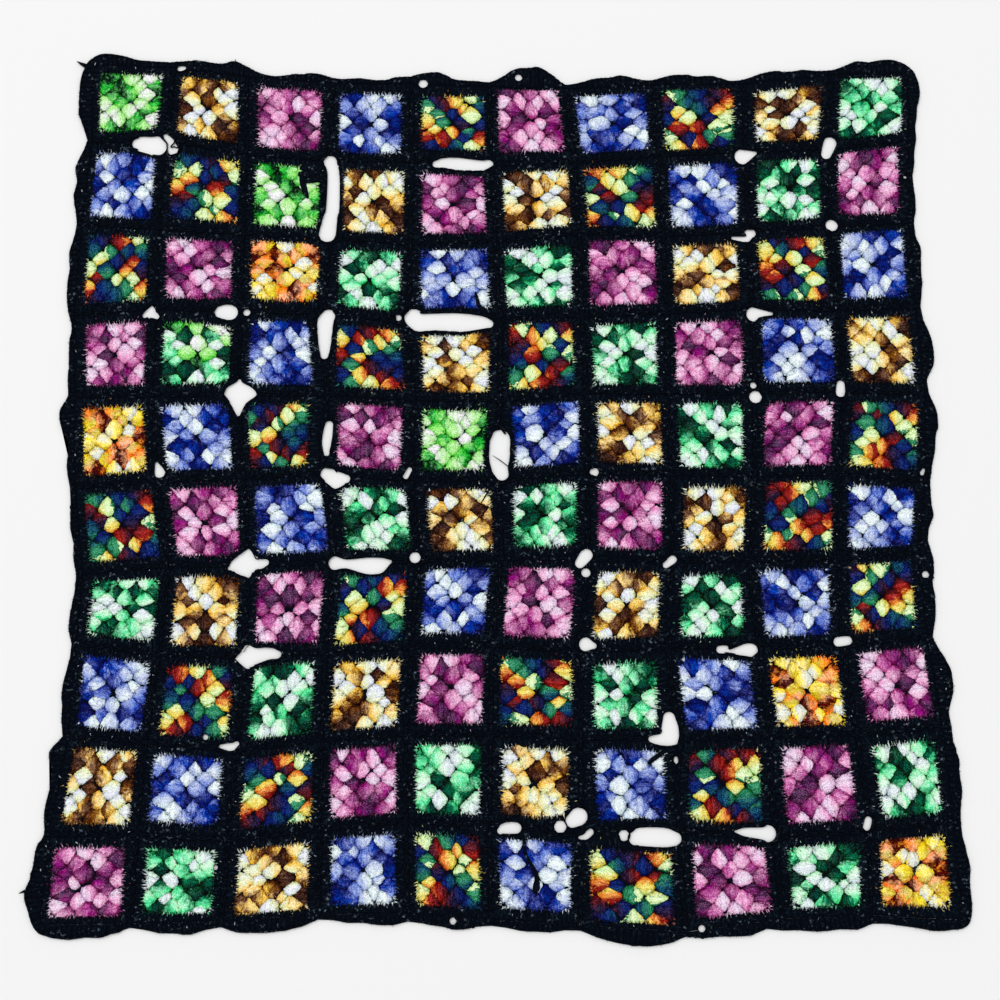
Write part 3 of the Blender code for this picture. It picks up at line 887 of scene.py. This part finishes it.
def strand_lay(shape, rng, count):
    """Where a stitch's points lie on its yarn, for the twist of its plies."""
    a, t, h = shape.points.T
    lay = np.stack([1.1 * a, 0.8 * t, 1.1 * h], axis=1)
    return lay + rng.uniform(0, 20, (count, 1, 3))


def smooth_line(marks, steps, closed=False):
    """A smooth line through marks, with this many steps between two of them."""
    marks = np.asarray(marks, float)
    if closed:
        around = np.concatenate([marks[-1:], marks, marks[:2]])
    else:
        before, after = 2 * marks[:1] - marks[1:2], 2 * marks[-1:] - marks[-2:-1]
        around = np.concatenate([before, marks, after])
    a, b, c, d = around[:-3], around[1:-2], around[2:-1], around[3:]
    found = []
    for t in np.arange(steps) / steps:
        found.append(0.5 * (2 * b + (c - a) * t + (2 * a - 5 * b + 4 * c - d) * t**2
                            + (3 * b - a - 3 * c + d) * t**3))
    line = np.stack(found, axis=1).reshape(-1, marks.shape[1])
    return line if closed else np.concatenate([line, marks[-1:]])


# ---------------------------------------------------------------- coloured rounds


def side_frames():
    """(right, out) directions of a square's four sides, clockwise from the far one."""
    return [
        (np.array([math.cos(k * math.pi / 2), -math.sin(k * math.pi / 2)]),
         np.array([math.sin(k * math.pi / 2), math.cos(k * math.pi / 2)]))
        for k in range(4)
    ]


def clusters():
    """Every cluster's round, way out, place and yarn, for all squares."""
    rng = np.random.default_rng(11)
    rounds, ways, seeds, order = [], [], [], []
    for side, (right, out) in enumerate(side_frames()):
        for k, (which, across, away) in enumerate(SIDE_CLUSTERS):
            rounds.append(which)
            ways.append(out)
            seeds.append(right * across + out * away)
            order.append(side * which + k - (0, 1, 3)[which - 1])
    rounds, ways, seeds, order = map(np.array, (rounds, ways, seeds, order))
    squares = SQUARES * SQUARES
    turn = rng.normal(0, 0.05, (squares, 1))
    x, y = seeds[:, 0], seeds[:, 1]
    places = np.stack([x - turn * y, y + turn * x], axis=-1)
    places += rng.normal(0, 0.042, places.shape)
    start = rng.random((squares, 3))[:, rounds - 1]
    step = CYCLE_STEP * rng.uniform(0.9, 1.12, (squares, 1))
    at = start + order * step + rng.normal(0, 0.045, (squares, len(rounds)))
    return rounds, ways, places, at


def deepness(names, at):
    """How deep each cluster's colour is, from 0 to 1."""
    multi = np.array(MULTI_DEEP)[np.searchsorted(np.cumsum(MULTI_SHARES)[:-1], at % 1.0)]
    return np.where(names == "multi", multi, 1 - np.abs(at % 1.0 * 2 - 1))


def cell_reach(places, rounds, ways, shape):
    """How far each cluster spreads towards each point of the shape: up to its neighbours."""
    a, b = shape.points.T[:2]
    b = np.where(np.hypot(a, b) < 1e-9, 1.0, b)
    flat = np.hypot(a, b)[:, None]
    heads = right_of(ways)[:, None] * (a[:, None] / flat) + ways[:, None] * (b[:, None] / flat)
    total = np.zeros((len(places), len(rounds), len(a)))
    push = np.random.default_rng(7).normal(0, 0.030, places.shape[:2])

    def wall(normal, distance):
        """normal (..., clusters, 2) and distance (..., clusters) of one straight limit."""
        toward = np.einsum("scd,cmd->scm", normal, heads)
        return (np.maximum(toward, 0) / np.maximum(distance, 0.02)[..., None]) ** WALL_BEND

    for k in range(places.shape[1]):
        gap = places[:, k : k + 1] - places
        far = np.linalg.norm(gap, axis=2)
        own = far < 1e-9
        far[own] = 1.0
        limit = np.where(own, 1e6, far / 2 + push - push[:, k : k + 1])
        total += wall(gap / far[..., None], limit)
    for k in range(8):
        normal = heading(k * math.pi / 4).round(4)
        edge = CORNER_WALL if k % 2 else 1.0
        total += wall(np.broadcast_to(normal, places.shape), edge - places @ normal)
    inward = np.linalg.norm(places, axis=2)
    first = rounds == 1
    centre = wall(-places / inward[..., None], inward + 0.01)
    total[:, first] += centre[:, first]
    return heads, total ** (-1 / WALL_BEND)


def yarn_of(rounds):
    """The yarn's name for each square and cluster."""
    names = np.array([row.split() for row in YARN_ROWS]).ravel()
    found = np.repeat(names[:, None], len(rounds), axis=1)
    for (row, column), name in JOINED_YARN.items():
        later = (rounds == 2) | ((rounds == 3) & (np.arange(len(rounds)) > 9))
        found[row * SQUARES + column, later] = name
    return found


def coloured_pieces():
    size = sizes()
    base, crown = size.cluster_base / MM, size.cluster_crown / MM
    shape, tooth = cluster_shape(), tooth_shape()
    rounds, ways, places, at = clusters()
    names = yarn_of(rounds)
    heads, reach = cell_reach(places, rounds, ways, shape)
    half = PITCH * COLOURED
    a, b, up = shape.points.T
    share = np.maximum(np.abs(a), np.abs(b))
    rng = np.random.default_rng(23)
    deep = deepness(names, at)[..., None]
    spread = share * (reach + size.overlap / MM / half * (0.6 + 1.3 * deep))
    spread *= 1 + (ruffle(shape) * 0.075 + rng.normal(0, 0.03, spread.shape)) * share
    uv = places[:, :, None] + heads[None] * spread[..., None]
    xy = in_squares(uv)
    shift = opened(xy, in_squares(places)[:, :, None]) - xy
    usual = np.median(shift, axis=2, keepdims=True)
    far = np.linalg.norm(shift - usual, axis=3, keepdims=True) > 10
    xy = xy + np.where(far, usual, shift)
    tall = np.array(ROUND_HEIGHTS)[rounds - 1] * rng.normal(1.0, 0.05, at.shape)
    tall = tall * (1.10 - 0.26 * deep[..., 0])
    z = base + up * (crown - base) * tall[..., None] * rng.normal(1.0, 0.045, (*at.shape, len(up)))
    points = np.concatenate([xy, z[..., None]], axis=3)
    yarn_at = at[..., None] + 0.10 * a + 0.02 * b
    fan = np.arctan2(a, b + 1.9), np.hypot(a, b + 1.9)  # round the foot of the stitches
    lay = np.stack([3.4 * fan[0], 0.7 * fan[1], np.zeros_like(a)], axis=1)
    lay = lay + rng.uniform(0, 20, (*at.shape, 1, 3))
    tufts = cluster_tufts(tooth, shape, places, heads, spread, deep, rng)
    teeth = coloured_teeth(tooth, rounds, places, at, names, rng)
    made = []
    for name in YARN_COLOURS:
        piece = Piece(f"coloured_rounds_{name}")
        mine = names == name
        piece.add(shape, points[mine], yarn_at[mine], lay=lay[mine])
        for tips in tufts:
            piece.add(tooth, tips[mine], at[mine][:, None], 0.9)
        for tips, tip_at, tip_names in teeth:
            own = tip_names == name
            piece.add(tooth, tips[own], tip_at[own, None], 0.9)
        material = material_once(name + "_yarn", coloured_yarn, name)
        made.append(piece.build(material, "squares_yarn"))
    return made


def cluster_tufts(tooth, shape, places, heads, spread, deep, rng):
    """Fibres round every cluster's edge, which lie over its neighbours."""
    a, b = shape.points.T[:2]
    rim = np.flatnonzero(np.maximum(np.abs(a), np.abs(b)) > 0.999)
    rim = rim[np.argsort(np.arctan2(b[rim], a[rim]))]
    found = []
    for k in range(TUFTS):
        pick = rim[(k * len(rim)) // TUFTS + rng.integers(0, 2)]
        way, reach = heads[:, pick], spread[:, :, pick]
        root = places + way * (reach * rng.uniform(0.35, 0.5, reach.shape))[..., None]
        tip = places + way * (reach * rng.uniform(0.74, 0.98, reach.shape))[..., None]
        tip = np.clip(tip + rng.normal(0, 0.02, tip.shape), -1.04, 1.04)
        start, end, middle = (in_squares(uv).reshape(-1, 2) for uv in (root, tip, places))
        sink = deep.ravel() * 1.1
        height = 4.7 - sink, rng.uniform(4.2, 5.2, len(sink)) - sink
        width = rng.uniform(4.0, 6.0, len(sink))
        points = laid(tooth, start, end, middle, width, height, thick=0.8)
        found.append(points.reshape(*places.shape[:2], *points.shape[1:]))
    return found


def coloured_teeth(tooth, rounds, places, at, names, rng):
    """Tops of the last coloured round, which stand out over the black yarn."""
    found = []
    outer = np.flatnonzero(rounds == 3)
    length = sizes().tooth / MM
    half = PITCH * COLOURED
    count = len(at)
    for right, out in side_frames():
        for k in range(TEETH):
            along = (k + 0.5) / TEETH * 2 - 1 + rng.normal(0, 0.013, count)
            lean = rng.normal(0, 0.035, count) + 0.03 * along
            low = 0.965 + rng.uniform(-0.02, 0.02, count)
            high = 1.030 + rng.uniform(0.05, 1.0, count) * length / half
            high -= 0.10 * np.clip(np.abs(along) - 0.86, 0, 1)
            root = along[:, None] * 0.97 * right + low[:, None] * out
            tip = (along + lean)[:, None] * right + high[:, None] * out
            gap = places[:, outer] - (along[:, None] * right + 0.85 * out)[:, None]
            owner = np.arange(count), outer[(gap**2).sum(2).argmin(1)]
            start = in_squares(root)
            width = rng.uniform(4.0, 6.0, count)
            height = 3.4, rng.uniform(3.8, 4.6, count)
            points = laid(tooth, start, in_squares(tip), start, width, height, thick=1.0)
            found.append((points, at[owner], names[owner]))
            if k % 8 != 3:
                continue
            stray = rng.uniform(-0.04, 0.13, (count, 1))
            root = in_squares(tip + stray * out + rng.normal(0, 0.1, (count, 2)) * right)
            reach = rng.uniform(1.5, 4.0, (count, 1))
            tip = root + reach * out + rng.normal(0, 1.2, root.shape)
            points = laid(tooth, root, tip, root, 1.3, (4.0, 4.0), thick=1.0)
            found.append((points, at[owner], names[owner]))
    return found


# ---------------------------------------------------------------- black rounds and joins

BLACK_BASES = (-0.96, -0.34, 0.34, 0.96)  # where one side's four black clusters begin


def black_round(piece, rng):
    """Sixteen clusters of three stitches round every square, and teeth between them."""
    stitch, tooth = stitch_shape(), tooth_shape()
    width = sizes().black_stitch / MM
    count = SQUARES * SQUARES
    per_side = 3 * len(BLACK_BASES)
    for right, out in side_frames():
        for k in range(per_side):
            base = BLACK_BASES[k // 3] + (k % 3 - 1) * 0.055
            low = 0.945 if 2 < k < 9 else 0.985
            top = ((k + 0.5) / per_side * 2 - 1) * SEAM * 0.985
            shift = rng.normal(0, 0.012, (count, 2))
            start = in_squares((base + shift[:, :1]) * right + low * out)
            end = in_squares((top + shift[:, 1:]) * right + (SEAM - 0.03) * out)
            height = rng.normal(1.9, 0.15, count), rng.normal(2.1, 0.15, count)
            add_strands(
                piece, stitch, rng, (start, end), start, width, height,
                rise=1 - stitch.points[:, 1], thick=STITCH_THICK, taper=(0.5, 1.0),
            )
        for k in range(BLACK_TEETH):
            along = k / BLACK_TEETH * 2 - 1 + rng.normal(0, 0.02, count)
            lean = rng.normal(0, 0.04, count)
            deep = 1.0 - rng.uniform(0.0, 0.11, count)
            start = in_squares(along[:, None] * right + 1.07 * out)
            end = in_squares((along + lean)[:, None] * right + deep[:, None] * out)
            height = rng.uniform(3.2, 3.8, count), rng.uniform(4.4, 5.4, count)
            points = laid(tooth, start, end, end, rng.uniform(2.4, 4.6, count), height, thick=1.4)
            piece.add(tooth, points, rise=1.0)


def joins(piece, rng):
    """A row of slanting strands along every seam between two squares."""
    stitch = stitch_shape()
    thick = sizes().join_strand / MM
    steps = np.arange(JOINS)[:, None] / JOINS
    for k in range(1, SQUARES):
        for j in range(SQUARES):
            for a, b in ((CORNERS[k, j], CORNERS[k, j + 1]), (CORNERS[j, k], CORNERS[j + 1, k])):
                off = right_of(unit(b - a))
                wander = rng.normal(0, 0.5, (JOINS, 2))
                for side in (-off, off):
                    start = a + (b - a) * steps + side * 2.6 + wander
                    end = a + (b - a) * (steps + 1.15 / JOINS) + side * 0.5 + wander
                    height = 2.7 + rng.normal(0, 0.12, (JOINS, 2))
                    add_strands(
                        piece, stitch, rng, (start, end), start + side * 2, thick, height.T,
                        arch=0.5,
                    )


def gap_rim(chain, extra):
    """A smooth closed line in mm round a gap, this far outside it."""
    if len(chain) == 1:
        return chain[0, :2] + (chain[0, 2] + extra) * heading(np.arange(12) / 12 * math.tau)
    before = np.concatenate([chain[:1], chain[:-1]])[:, :2]
    after = np.concatenate([chain[1:], chain[-1:]])[:, :2]
    way = unit(after - before)
    right = right_of(way) * (chain[:, 2:] + extra)
    sides = chain[:, :2] - right, chain[:, :2] + right

    def end(mark, head, first):
        turns = math.atan2(head[1], head[0]) + first - np.radians((45, 90, 135))
        return mark[:2] + (mark[2] + extra) * heading(turns)

    last, start = end(chain[-1], way[-1], math.pi / 2), end(chain[0], way[0], -math.pi / 2)
    return smooth_line(np.concatenate([sides[0], last, sides[1][::-1], start]), 3, closed=True)


def along_line(piece, stitch, line, heights, thick, rng, overlap=0.3):
    """Short strands end to end along a line of places in mm."""
    step = np.diff(line, axis=0)
    start, end = line[:-1] - step * overlap, line[1:] + step * overlap
    a, t, h = stitch.points.T
    right = right_of(unit(end - start))
    thick = np.broadcast_to(thick, len(line))[:, None]
    wide = thick[:-1] * (1 - t) + thick[1:] * t
    xy = start[:, None] + (end - start)[:, None] * t[:, None]
    xy = xy + right[:, None] * (a * wide / 2)[..., None]
    low, high = heights[:-1, None], heights[1:, None]
    z = low + (high - low) * t + h * np.minimum(wide, STITCH_THICK) / 2
    points = np.concatenate([xy, z[..., None]], axis=2)
    piece.add(stitch, points, rise=0.0, lay=strand_lay(stitch, rng, len(start)))


def gap_rims(piece, rng):
    """Yarn along the rim of every gap."""
    stitch = stitch_shape()
    thick = sizes().rim_strand / MM
    for chain in CHAINS:
        line = gap_rim(chain, YARN_RIM)
        line = np.concatenate([line, line[:1]])
        heights = 2.4 + rng.normal(0, 0.25, len(line))
        heights[-1] = heights[0]
        along_line(piece, stitch, line, heights, thick, rng)


# ---------------------------------------------------------------- edging


def edge_marks(trimmed=True):
    """Inner places and rim of the edging, clockwise, six marks to a square, in mm."""
    sides = CORNERS[0], CORNERS[:, -1], CORNERS[-1, ::-1], CORNERS[::-1, 0]
    inner, rim, ways = [], [], []
    for corners, (right, out), widths in zip(sides, side_frames(), EDGE_REACH.values()):
        for k, width in enumerate(widths):
            a, b = corners[k // 3], corners[k // 3 + 1]
            ways.append(out if k else (out - right) * math.sqrt(0.5))
            inner.append(a + (b - a) * (k % 3) / 3)
            rim.append(inner[-1] + ways[-1] * max(width, LEAST_REACH))
    inner, ways = (
        np.stack([marks, (marks + np.roll(marks, -1, axis=0)) / 2], axis=1).reshape(-1, 2)
        for marks in (np.array(inner), np.array(ways))
    )
    trims = np.concatenate(list(EDGE_TRIM.values()))
    return inner, smooth_line(rim, 2, closed=True) + ways * trims[:, None] * trimmed


def fitted(points):
    """Places of the cloth's rims, moved onto the lines that the stitches follow."""
    inner, plain = edge_marks(False)
    step = plain - inner
    from_inner = points[:, None] - inner
    share = (from_inner * step).sum(2) / (step**2).sum(1)
    off = np.linalg.norm(from_inner - step * share[..., None], axis=2) + 1e3 * (share < 0.02)
    best = off.argmin(1)
    share, off = (found[np.arange(len(points)), best] for found in (share, off))
    moved = points + (edge_marks()[1] - plain)[best] * (share.clip(0, 1) * (off < 14))[:, None]
    least = np.full(len(points), 4.0)
    for chain in CHAINS:
        on, width = nearest(chain, points)
        away = points - on
        gone = np.maximum(np.linalg.norm(away, axis=1), 0.05)
        near = gone - width < least
        least[near] = (gone - width)[near]
        moved[near] = (on + away / gone[:, None] * (width + 0.4)[:, None])[near]
    return moved


def faces_near(bm, low, high):
    """The faces whose own extent meets a box on the ground."""
    found = []
    for face in bm.faces:
        x, y, _ = zip(*(v.co for v in face.verts))
        if min(x) < high[0] and max(x) > low[0] and min(y) < high[1] and max(y) > low[1]:
            found.append(face)
    return found


def cut_gap(bm, chain):
    """Opens the cloth inside a gap's rim, triangle by triangle."""
    rim = gap_rim(chain, CLOTH_RIM)[::2] * MM
    faces = faces_near(bm, rim.min(0), rim.max(0))
    around = bmesh.new()
    copied = dict.fromkeys(v for face in faces for v in face.verts)
    for v in copied:
        copied[v] = around.verts.new(v.co)
    for face in faces:
        around.faces.new([copied[v] for v in face.verts])
    bmesh.ops.delete(bm, geom=faces, context="FACES")
    for corners in tessellate_polygon([[Vector((*place, 0.0)) for place in rim]]):
        corners = rim[list(corners)]
        inside = faces_near(around, corners.min(0), corners.max(0))
        for k in range(3):
            edge, across = np.roll(corners, -k, axis=0)[1:] - corners[k]
            way = right_of(unit(edge, 1e-9))
            way = -way * np.sign(way @ across)
            parts = [part for face in inside for part in (face, *face.edges, *face.verts)]
            cut = bmesh.ops.bisect_plane(
                around, geom=list(dict.fromkeys(parts)), dist=1e-6,
                plane_co=(*corners[k], 0.0), plane_no=(*way, 0.0),
            )["geom"]
            inside = [
                part for part in cut if isinstance(part, bmesh.types.BMFace)
                and way @ (np.array(part.calc_center_median()[:2]) - corners[k]) < 0
            ]
        bmesh.ops.delete(around, geom=inside, context="FACES")
    opened_part = bpy.data.meshes.new("opened_part")
    around.to_mesh(opened_part)
    around.free()
    bm.from_mesh(opened_part)
    bpy.data.meshes.remove(opened_part)


def cut_rims(bm):
    """The open upper edges round the gaps, from which the cloth's thickness hangs."""
    edges = [e for e in bm.edges if e.is_boundary and min(v.co.z for v in e.verts) > 1.5 * MM]
    middles = np.array([(e.verts[0].co + e.verts[1].co)[:2] for e in edges]) / 2 / MM
    off = np.full(len(edges), 99.0)
    for _, near, on, width in by_gaps(middles, 100):
        away = np.linalg.norm(middles[near] - on, axis=1)
        off[near] = np.minimum(off[near], np.abs(away - width - CLOTH_RIM))
    return [edge for edge, far in zip(edges, off) if far < 1.3]


def edging(piece, rng):
    """Two rows of stitches round the squares, loops along the rim and a little fuzz."""
    stitch, tooth = stitch_shape(), tooth_shape()
    width = sizes().edging_stitch / MM
    inner, rim = edge_marks()
    per_mark = 3
    rims = smooth_line(rim, per_mark, closed=True)
    following = np.roll(inner, -1, axis=0)
    share = (np.arange(per_mark) / per_mark)[None, :, None]
    inners = (inner[:, None] * (1 - share) + following[:, None] * share).reshape(-1, 2)
    count = len(rims)
    for first, last, high in ((-0.06, 0.58, 2.3), (0.42, 0.93, 2.2)):
        wander = rng.normal(0, 0.6, (count, 2))
        start = inners + (rims - inners) * first + wander
        end = inners + (rims - inners) * last + wander
        height = high + rng.normal(0, 0.15, (count, 2))
        middle = (start + end) / 2
        add_strands(
            piece, stitch, rng, (start, end), middle, width, height.T, thick=STITCH_THICK,
        )
    out = unit(rims - inners)
    loops = rims - out * (2.3 - np.abs(rng.normal(0, 0.6, (count, 1))))
    following = np.roll(loops, -1, axis=0)
    step = following - loops
    thick = sizes().join_strand / MM
    for lean, bulge in ((0.25, 0.4), (-0.1, 1.1)):
        start = loops - step * (0.15 - lean * 0.2) + out * bulge * 0.4
        end = following + step * 0.15 + np.roll(out, -1, axis=0) * bulge * lean
        height = rng.normal(2.1, 0.15, (count, 2))
        add_strands(piece, stitch, rng, (start, end), start, thick, height.T, arch=0.4)
    fuzz = 3 * count
    pick = np.repeat(np.arange(count), 3)
    along = rng.random((fuzz, 1))
    root = loops[pick] * (1 - along) + following[pick] * along
    tip = root + out[pick] * rng.uniform(1.6, 3.2, (fuzz, 1)) + rng.normal(0, 1.0, (fuzz, 2))
    height = 2.2, rng.uniform(1.2, 3.4, fuzz)
    width = rng.uniform(0.7, 1.6, fuzz)
    piece.add(tooth, laid(tooth, root, tip, root, width, height, thick=0.9), rise=0.0)


# ---------------------------------------------------------------- pieces


def cloth_body():
    """The dense cloth under the raised stitches, open where the blanket is; its black is painted
    shade between the coloured clusters.
    """
    mesh = bpy.data.meshes.new("cloth_body")
    bm = bmesh.new()
    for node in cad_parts.values():
        bm.from_mesh(node.data)
    bmesh.ops.remove_doubles(bm, verts=bm.verts[:], dist=2e-5)
    places = np.array([v.co[:2] for v in bm.verts]) / MM
    for v, (x, y) in zip(bm.verts, fitted(places) * MM):
        v.co = (x, y, v.co.z * sizes().body_share)
    for chain in CHAINS:
        cut_gap(bm, chain)
    bmesh.ops.remove_doubles(bm, verts=bm.verts[:], dist=1e-6)
    bmesh.ops.dissolve_degenerate(bm, edges=bm.edges[:], dist=1e-6)
    walls = bmesh.ops.extrude_edge_only(bm, edges=cut_rims(bm))["geom"]
    for v in walls:
        if isinstance(v, bmesh.types.BMVert):
            v.co.z = 0.0
    bmesh.ops.triangulate(bm, faces=bm.faces[:])
    bm.to_mesh(mesh)
    bm.free()
    # Black yarn all over: real under the black rounds, painted shade where it shows between the
    # coloured clusters.
    obj = shown("cloth_body", mesh, material_once("black_yarn", black_yarn))
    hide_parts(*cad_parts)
    return obj


def black_pieces():
    rng = np.random.default_rng(31)
    made = []
    for name, fill in (
        ("black_rounds", black_round), ("joins", joins), ("gap_rims", gap_rims),
        ("edging_stitches", edging),
    ):
        piece = Piece(name)
        fill(piece, rng)
        made.append(piece.build(material_once("black_yarn", black_yarn), "edging_yarn"))
    return made


def loose_strands():
    rng = np.random.default_rng(41)
    stitch = stitch_shape(6)
    strands, fibres = Piece("loose_strands"), Piece("caught_fibres")
    for marks in LOOSE_STRANDS.values():
        line = smooth_line(marks, 4)
        along_line(strands, stitch, line[:, :2], line[:, 2], line[:, 3], rng, overlap=0.5)
    count = len(PALE_FIBRES)
    middle = np.array(PALE_FIBRES, float)
    turns = rng.uniform(0, math.tau, count)
    half = heading(turns) * rng.uniform(1.4, 2.8, (count, 1))
    start, width = middle - half, rng.uniform(0.8, 1.5, count)
    points = laid(stitch, start, middle + half, start, width, (4.4, 4.4), thick=0.9, arch=0.5)
    fibres.add(stitch, points)
    black = material_once("black_yarn", black_yarn)
    pale = material_once("pale_fibre", plain_yarn, "pale_fibre", tuple(colours().fibre))
    return [strands.build(black, "edging_yarn"), fibres.build(pale, "squares_yarn")]


def stage():
    scene = bpy.context.scene
    bm = bmesh.new()
    bmesh.ops.create_grid(bm, x_segments=1, y_segments=1, size=6.0)
    mesh = bpy.data.meshes.new("floor")
    bm.to_mesh(mesh)
    bm.free()
    floor = linked("floor", mesh)
    floor.location.z = -0.0003
    paper = bpy.data.materials.new("floor_paint")
    paper.use_nodes = True
    shader = paper.node_tree.nodes["Principled BSDF"]
    shader.inputs["Base Color"].default_value = (*colours().floor, 1.0)
    shader.inputs["Roughness"].default_value = 0.9
    shader.inputs["Specular IOR Level"].default_value = 0.1
    mesh.materials.append(paper)
    floor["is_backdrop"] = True

    world = bpy.data.worlds.new("studio")
    world.use_nodes = True
    sky = world.node_tree.nodes["Background"]
    sky.inputs["Color"].default_value = (1.0, 1.0, 1.0, 1.0)
    sky.inputs["Strength"].default_value = 0.92
    scene.world = world
    for name, place, energy, size in (
        ("key", (-3.5, 3.5, 9.0), 305.0, 4.0),
        ("fill", (3.5, -2.5, 9.0), 100.0, 5.0),
    ):
        lamp = bpy.data.lights.new(name, "AREA")
        lamp.energy, lamp.size = energy, size
        obj = linked(name, lamp)
        obj.location = place
        obj.rotation_euler = (-obj.location).to_track_quat("-Z", "Y").to_euler()

    camera = bpy.data.cameras.new("camera")
    camera.lens, camera.sensor_width = CAMERA_LENS, 36.0
    camera.clip_start, camera.clip_end = 0.05, 50.0
    scene.camera = linked("camera", camera)
    scene.camera.location = CAMERA_PLACE
    scene.camera.rotation_euler = (math.radians(CAMERA_TILT), 0.0, 0.0)
    scene.view_settings.view_transform = "Standard"
    scene.view_settings.look = "None"


# ---------------------------------------------------------------- add-on


class BLANKET_OT_body(bpy.types.Operator):
    """Make the dense cloth under the stitches, whose black is painted shade between the coloured
    clusters
    """

    bl_idname = "blanket.body"
    bl_label = "Cloth body"

    def execute(self, context):
        cloth_body()
        return {"FINISHED"}


class BLANKET_OT_coloured(bpy.types.Operator):
    """Crochet the three coloured rounds of every square"""

    bl_idname = "blanket.coloured"
    bl_label = "Coloured rounds"

    def execute(self, context):
        coloured_pieces()
        return {"FINISHED"}


class BLANKET_OT_black(bpy.types.Operator):
    """Crochet the black rounds, the joins, the gaps' rims and the edging"""

    bl_idname = "blanket.black"
    bl_label = "Black rounds and edging"

    def execute(self, context):
        black_pieces()
        return {"FINISHED"}


class BLANKET_OT_loose(bpy.types.Operator):
    """Lay the loose strands and the pale fibres caught in the black yarn"""

    bl_idname = "blanket.loose"
    bl_label = "Loose strands"

    def execute(self, context):
        loose_strands()
        return {"FINISHED"}


class BLANKET_OT_stage(bpy.types.Operator):
    """Set up the floor, the light and the camera"""

    bl_idname = "blanket.stage"
    bl_label = "Stage"

    def execute(self, context):
        stage()
        return {"FINISHED"}


OPERATORS = (
    BLANKET_OT_body, BLANKET_OT_coloured, BLANKET_OT_black, BLANKET_OT_loose, BLANKET_OT_stage,
)


class BLANKET_PT_panel(bpy.types.Panel):
    """Sizes, colours and steps of the blanket"""

    bl_idname = "BLANKET_PT_panel"
    bl_label = "Granny square blanket"
    bl_space_type = "VIEW_3D"
    bl_region_type = "UI"
    bl_category = "Blanket"

    def draw(self, context):
        for held in (context.scene.blanket_sizes, context.scene.blanket_colours):
            for name in held.__annotations__:
                self.layout.prop(held, name)
        for operator in OPERATORS:
            self.layout.operator(operator.bl_idname)


CLASSES = (BlanketSizes, BlanketColours, *OPERATORS, BLANKET_PT_panel)


def register():
    for cls in CLASSES:
        bpy.utils.register_class(cls)
    bpy.types.Scene.blanket_sizes = bpy.props.PointerProperty(type=BlanketSizes)
    bpy.types.Scene.blanket_colours = bpy.props.PointerProperty(type=BlanketColours)


def unregister():
    del bpy.types.Scene.blanket_colours
    del bpy.types.Scene.blanket_sizes
    for cls in reversed(CLASSES):
        bpy.utils.unregister_class(cls)


def main():
    register()
    for operator in OPERATORS:
        group, name = operator.bl_idname.split(".")
        getattr(getattr(bpy.ops, group), name)()


if __name__ == "__main__":
    main()
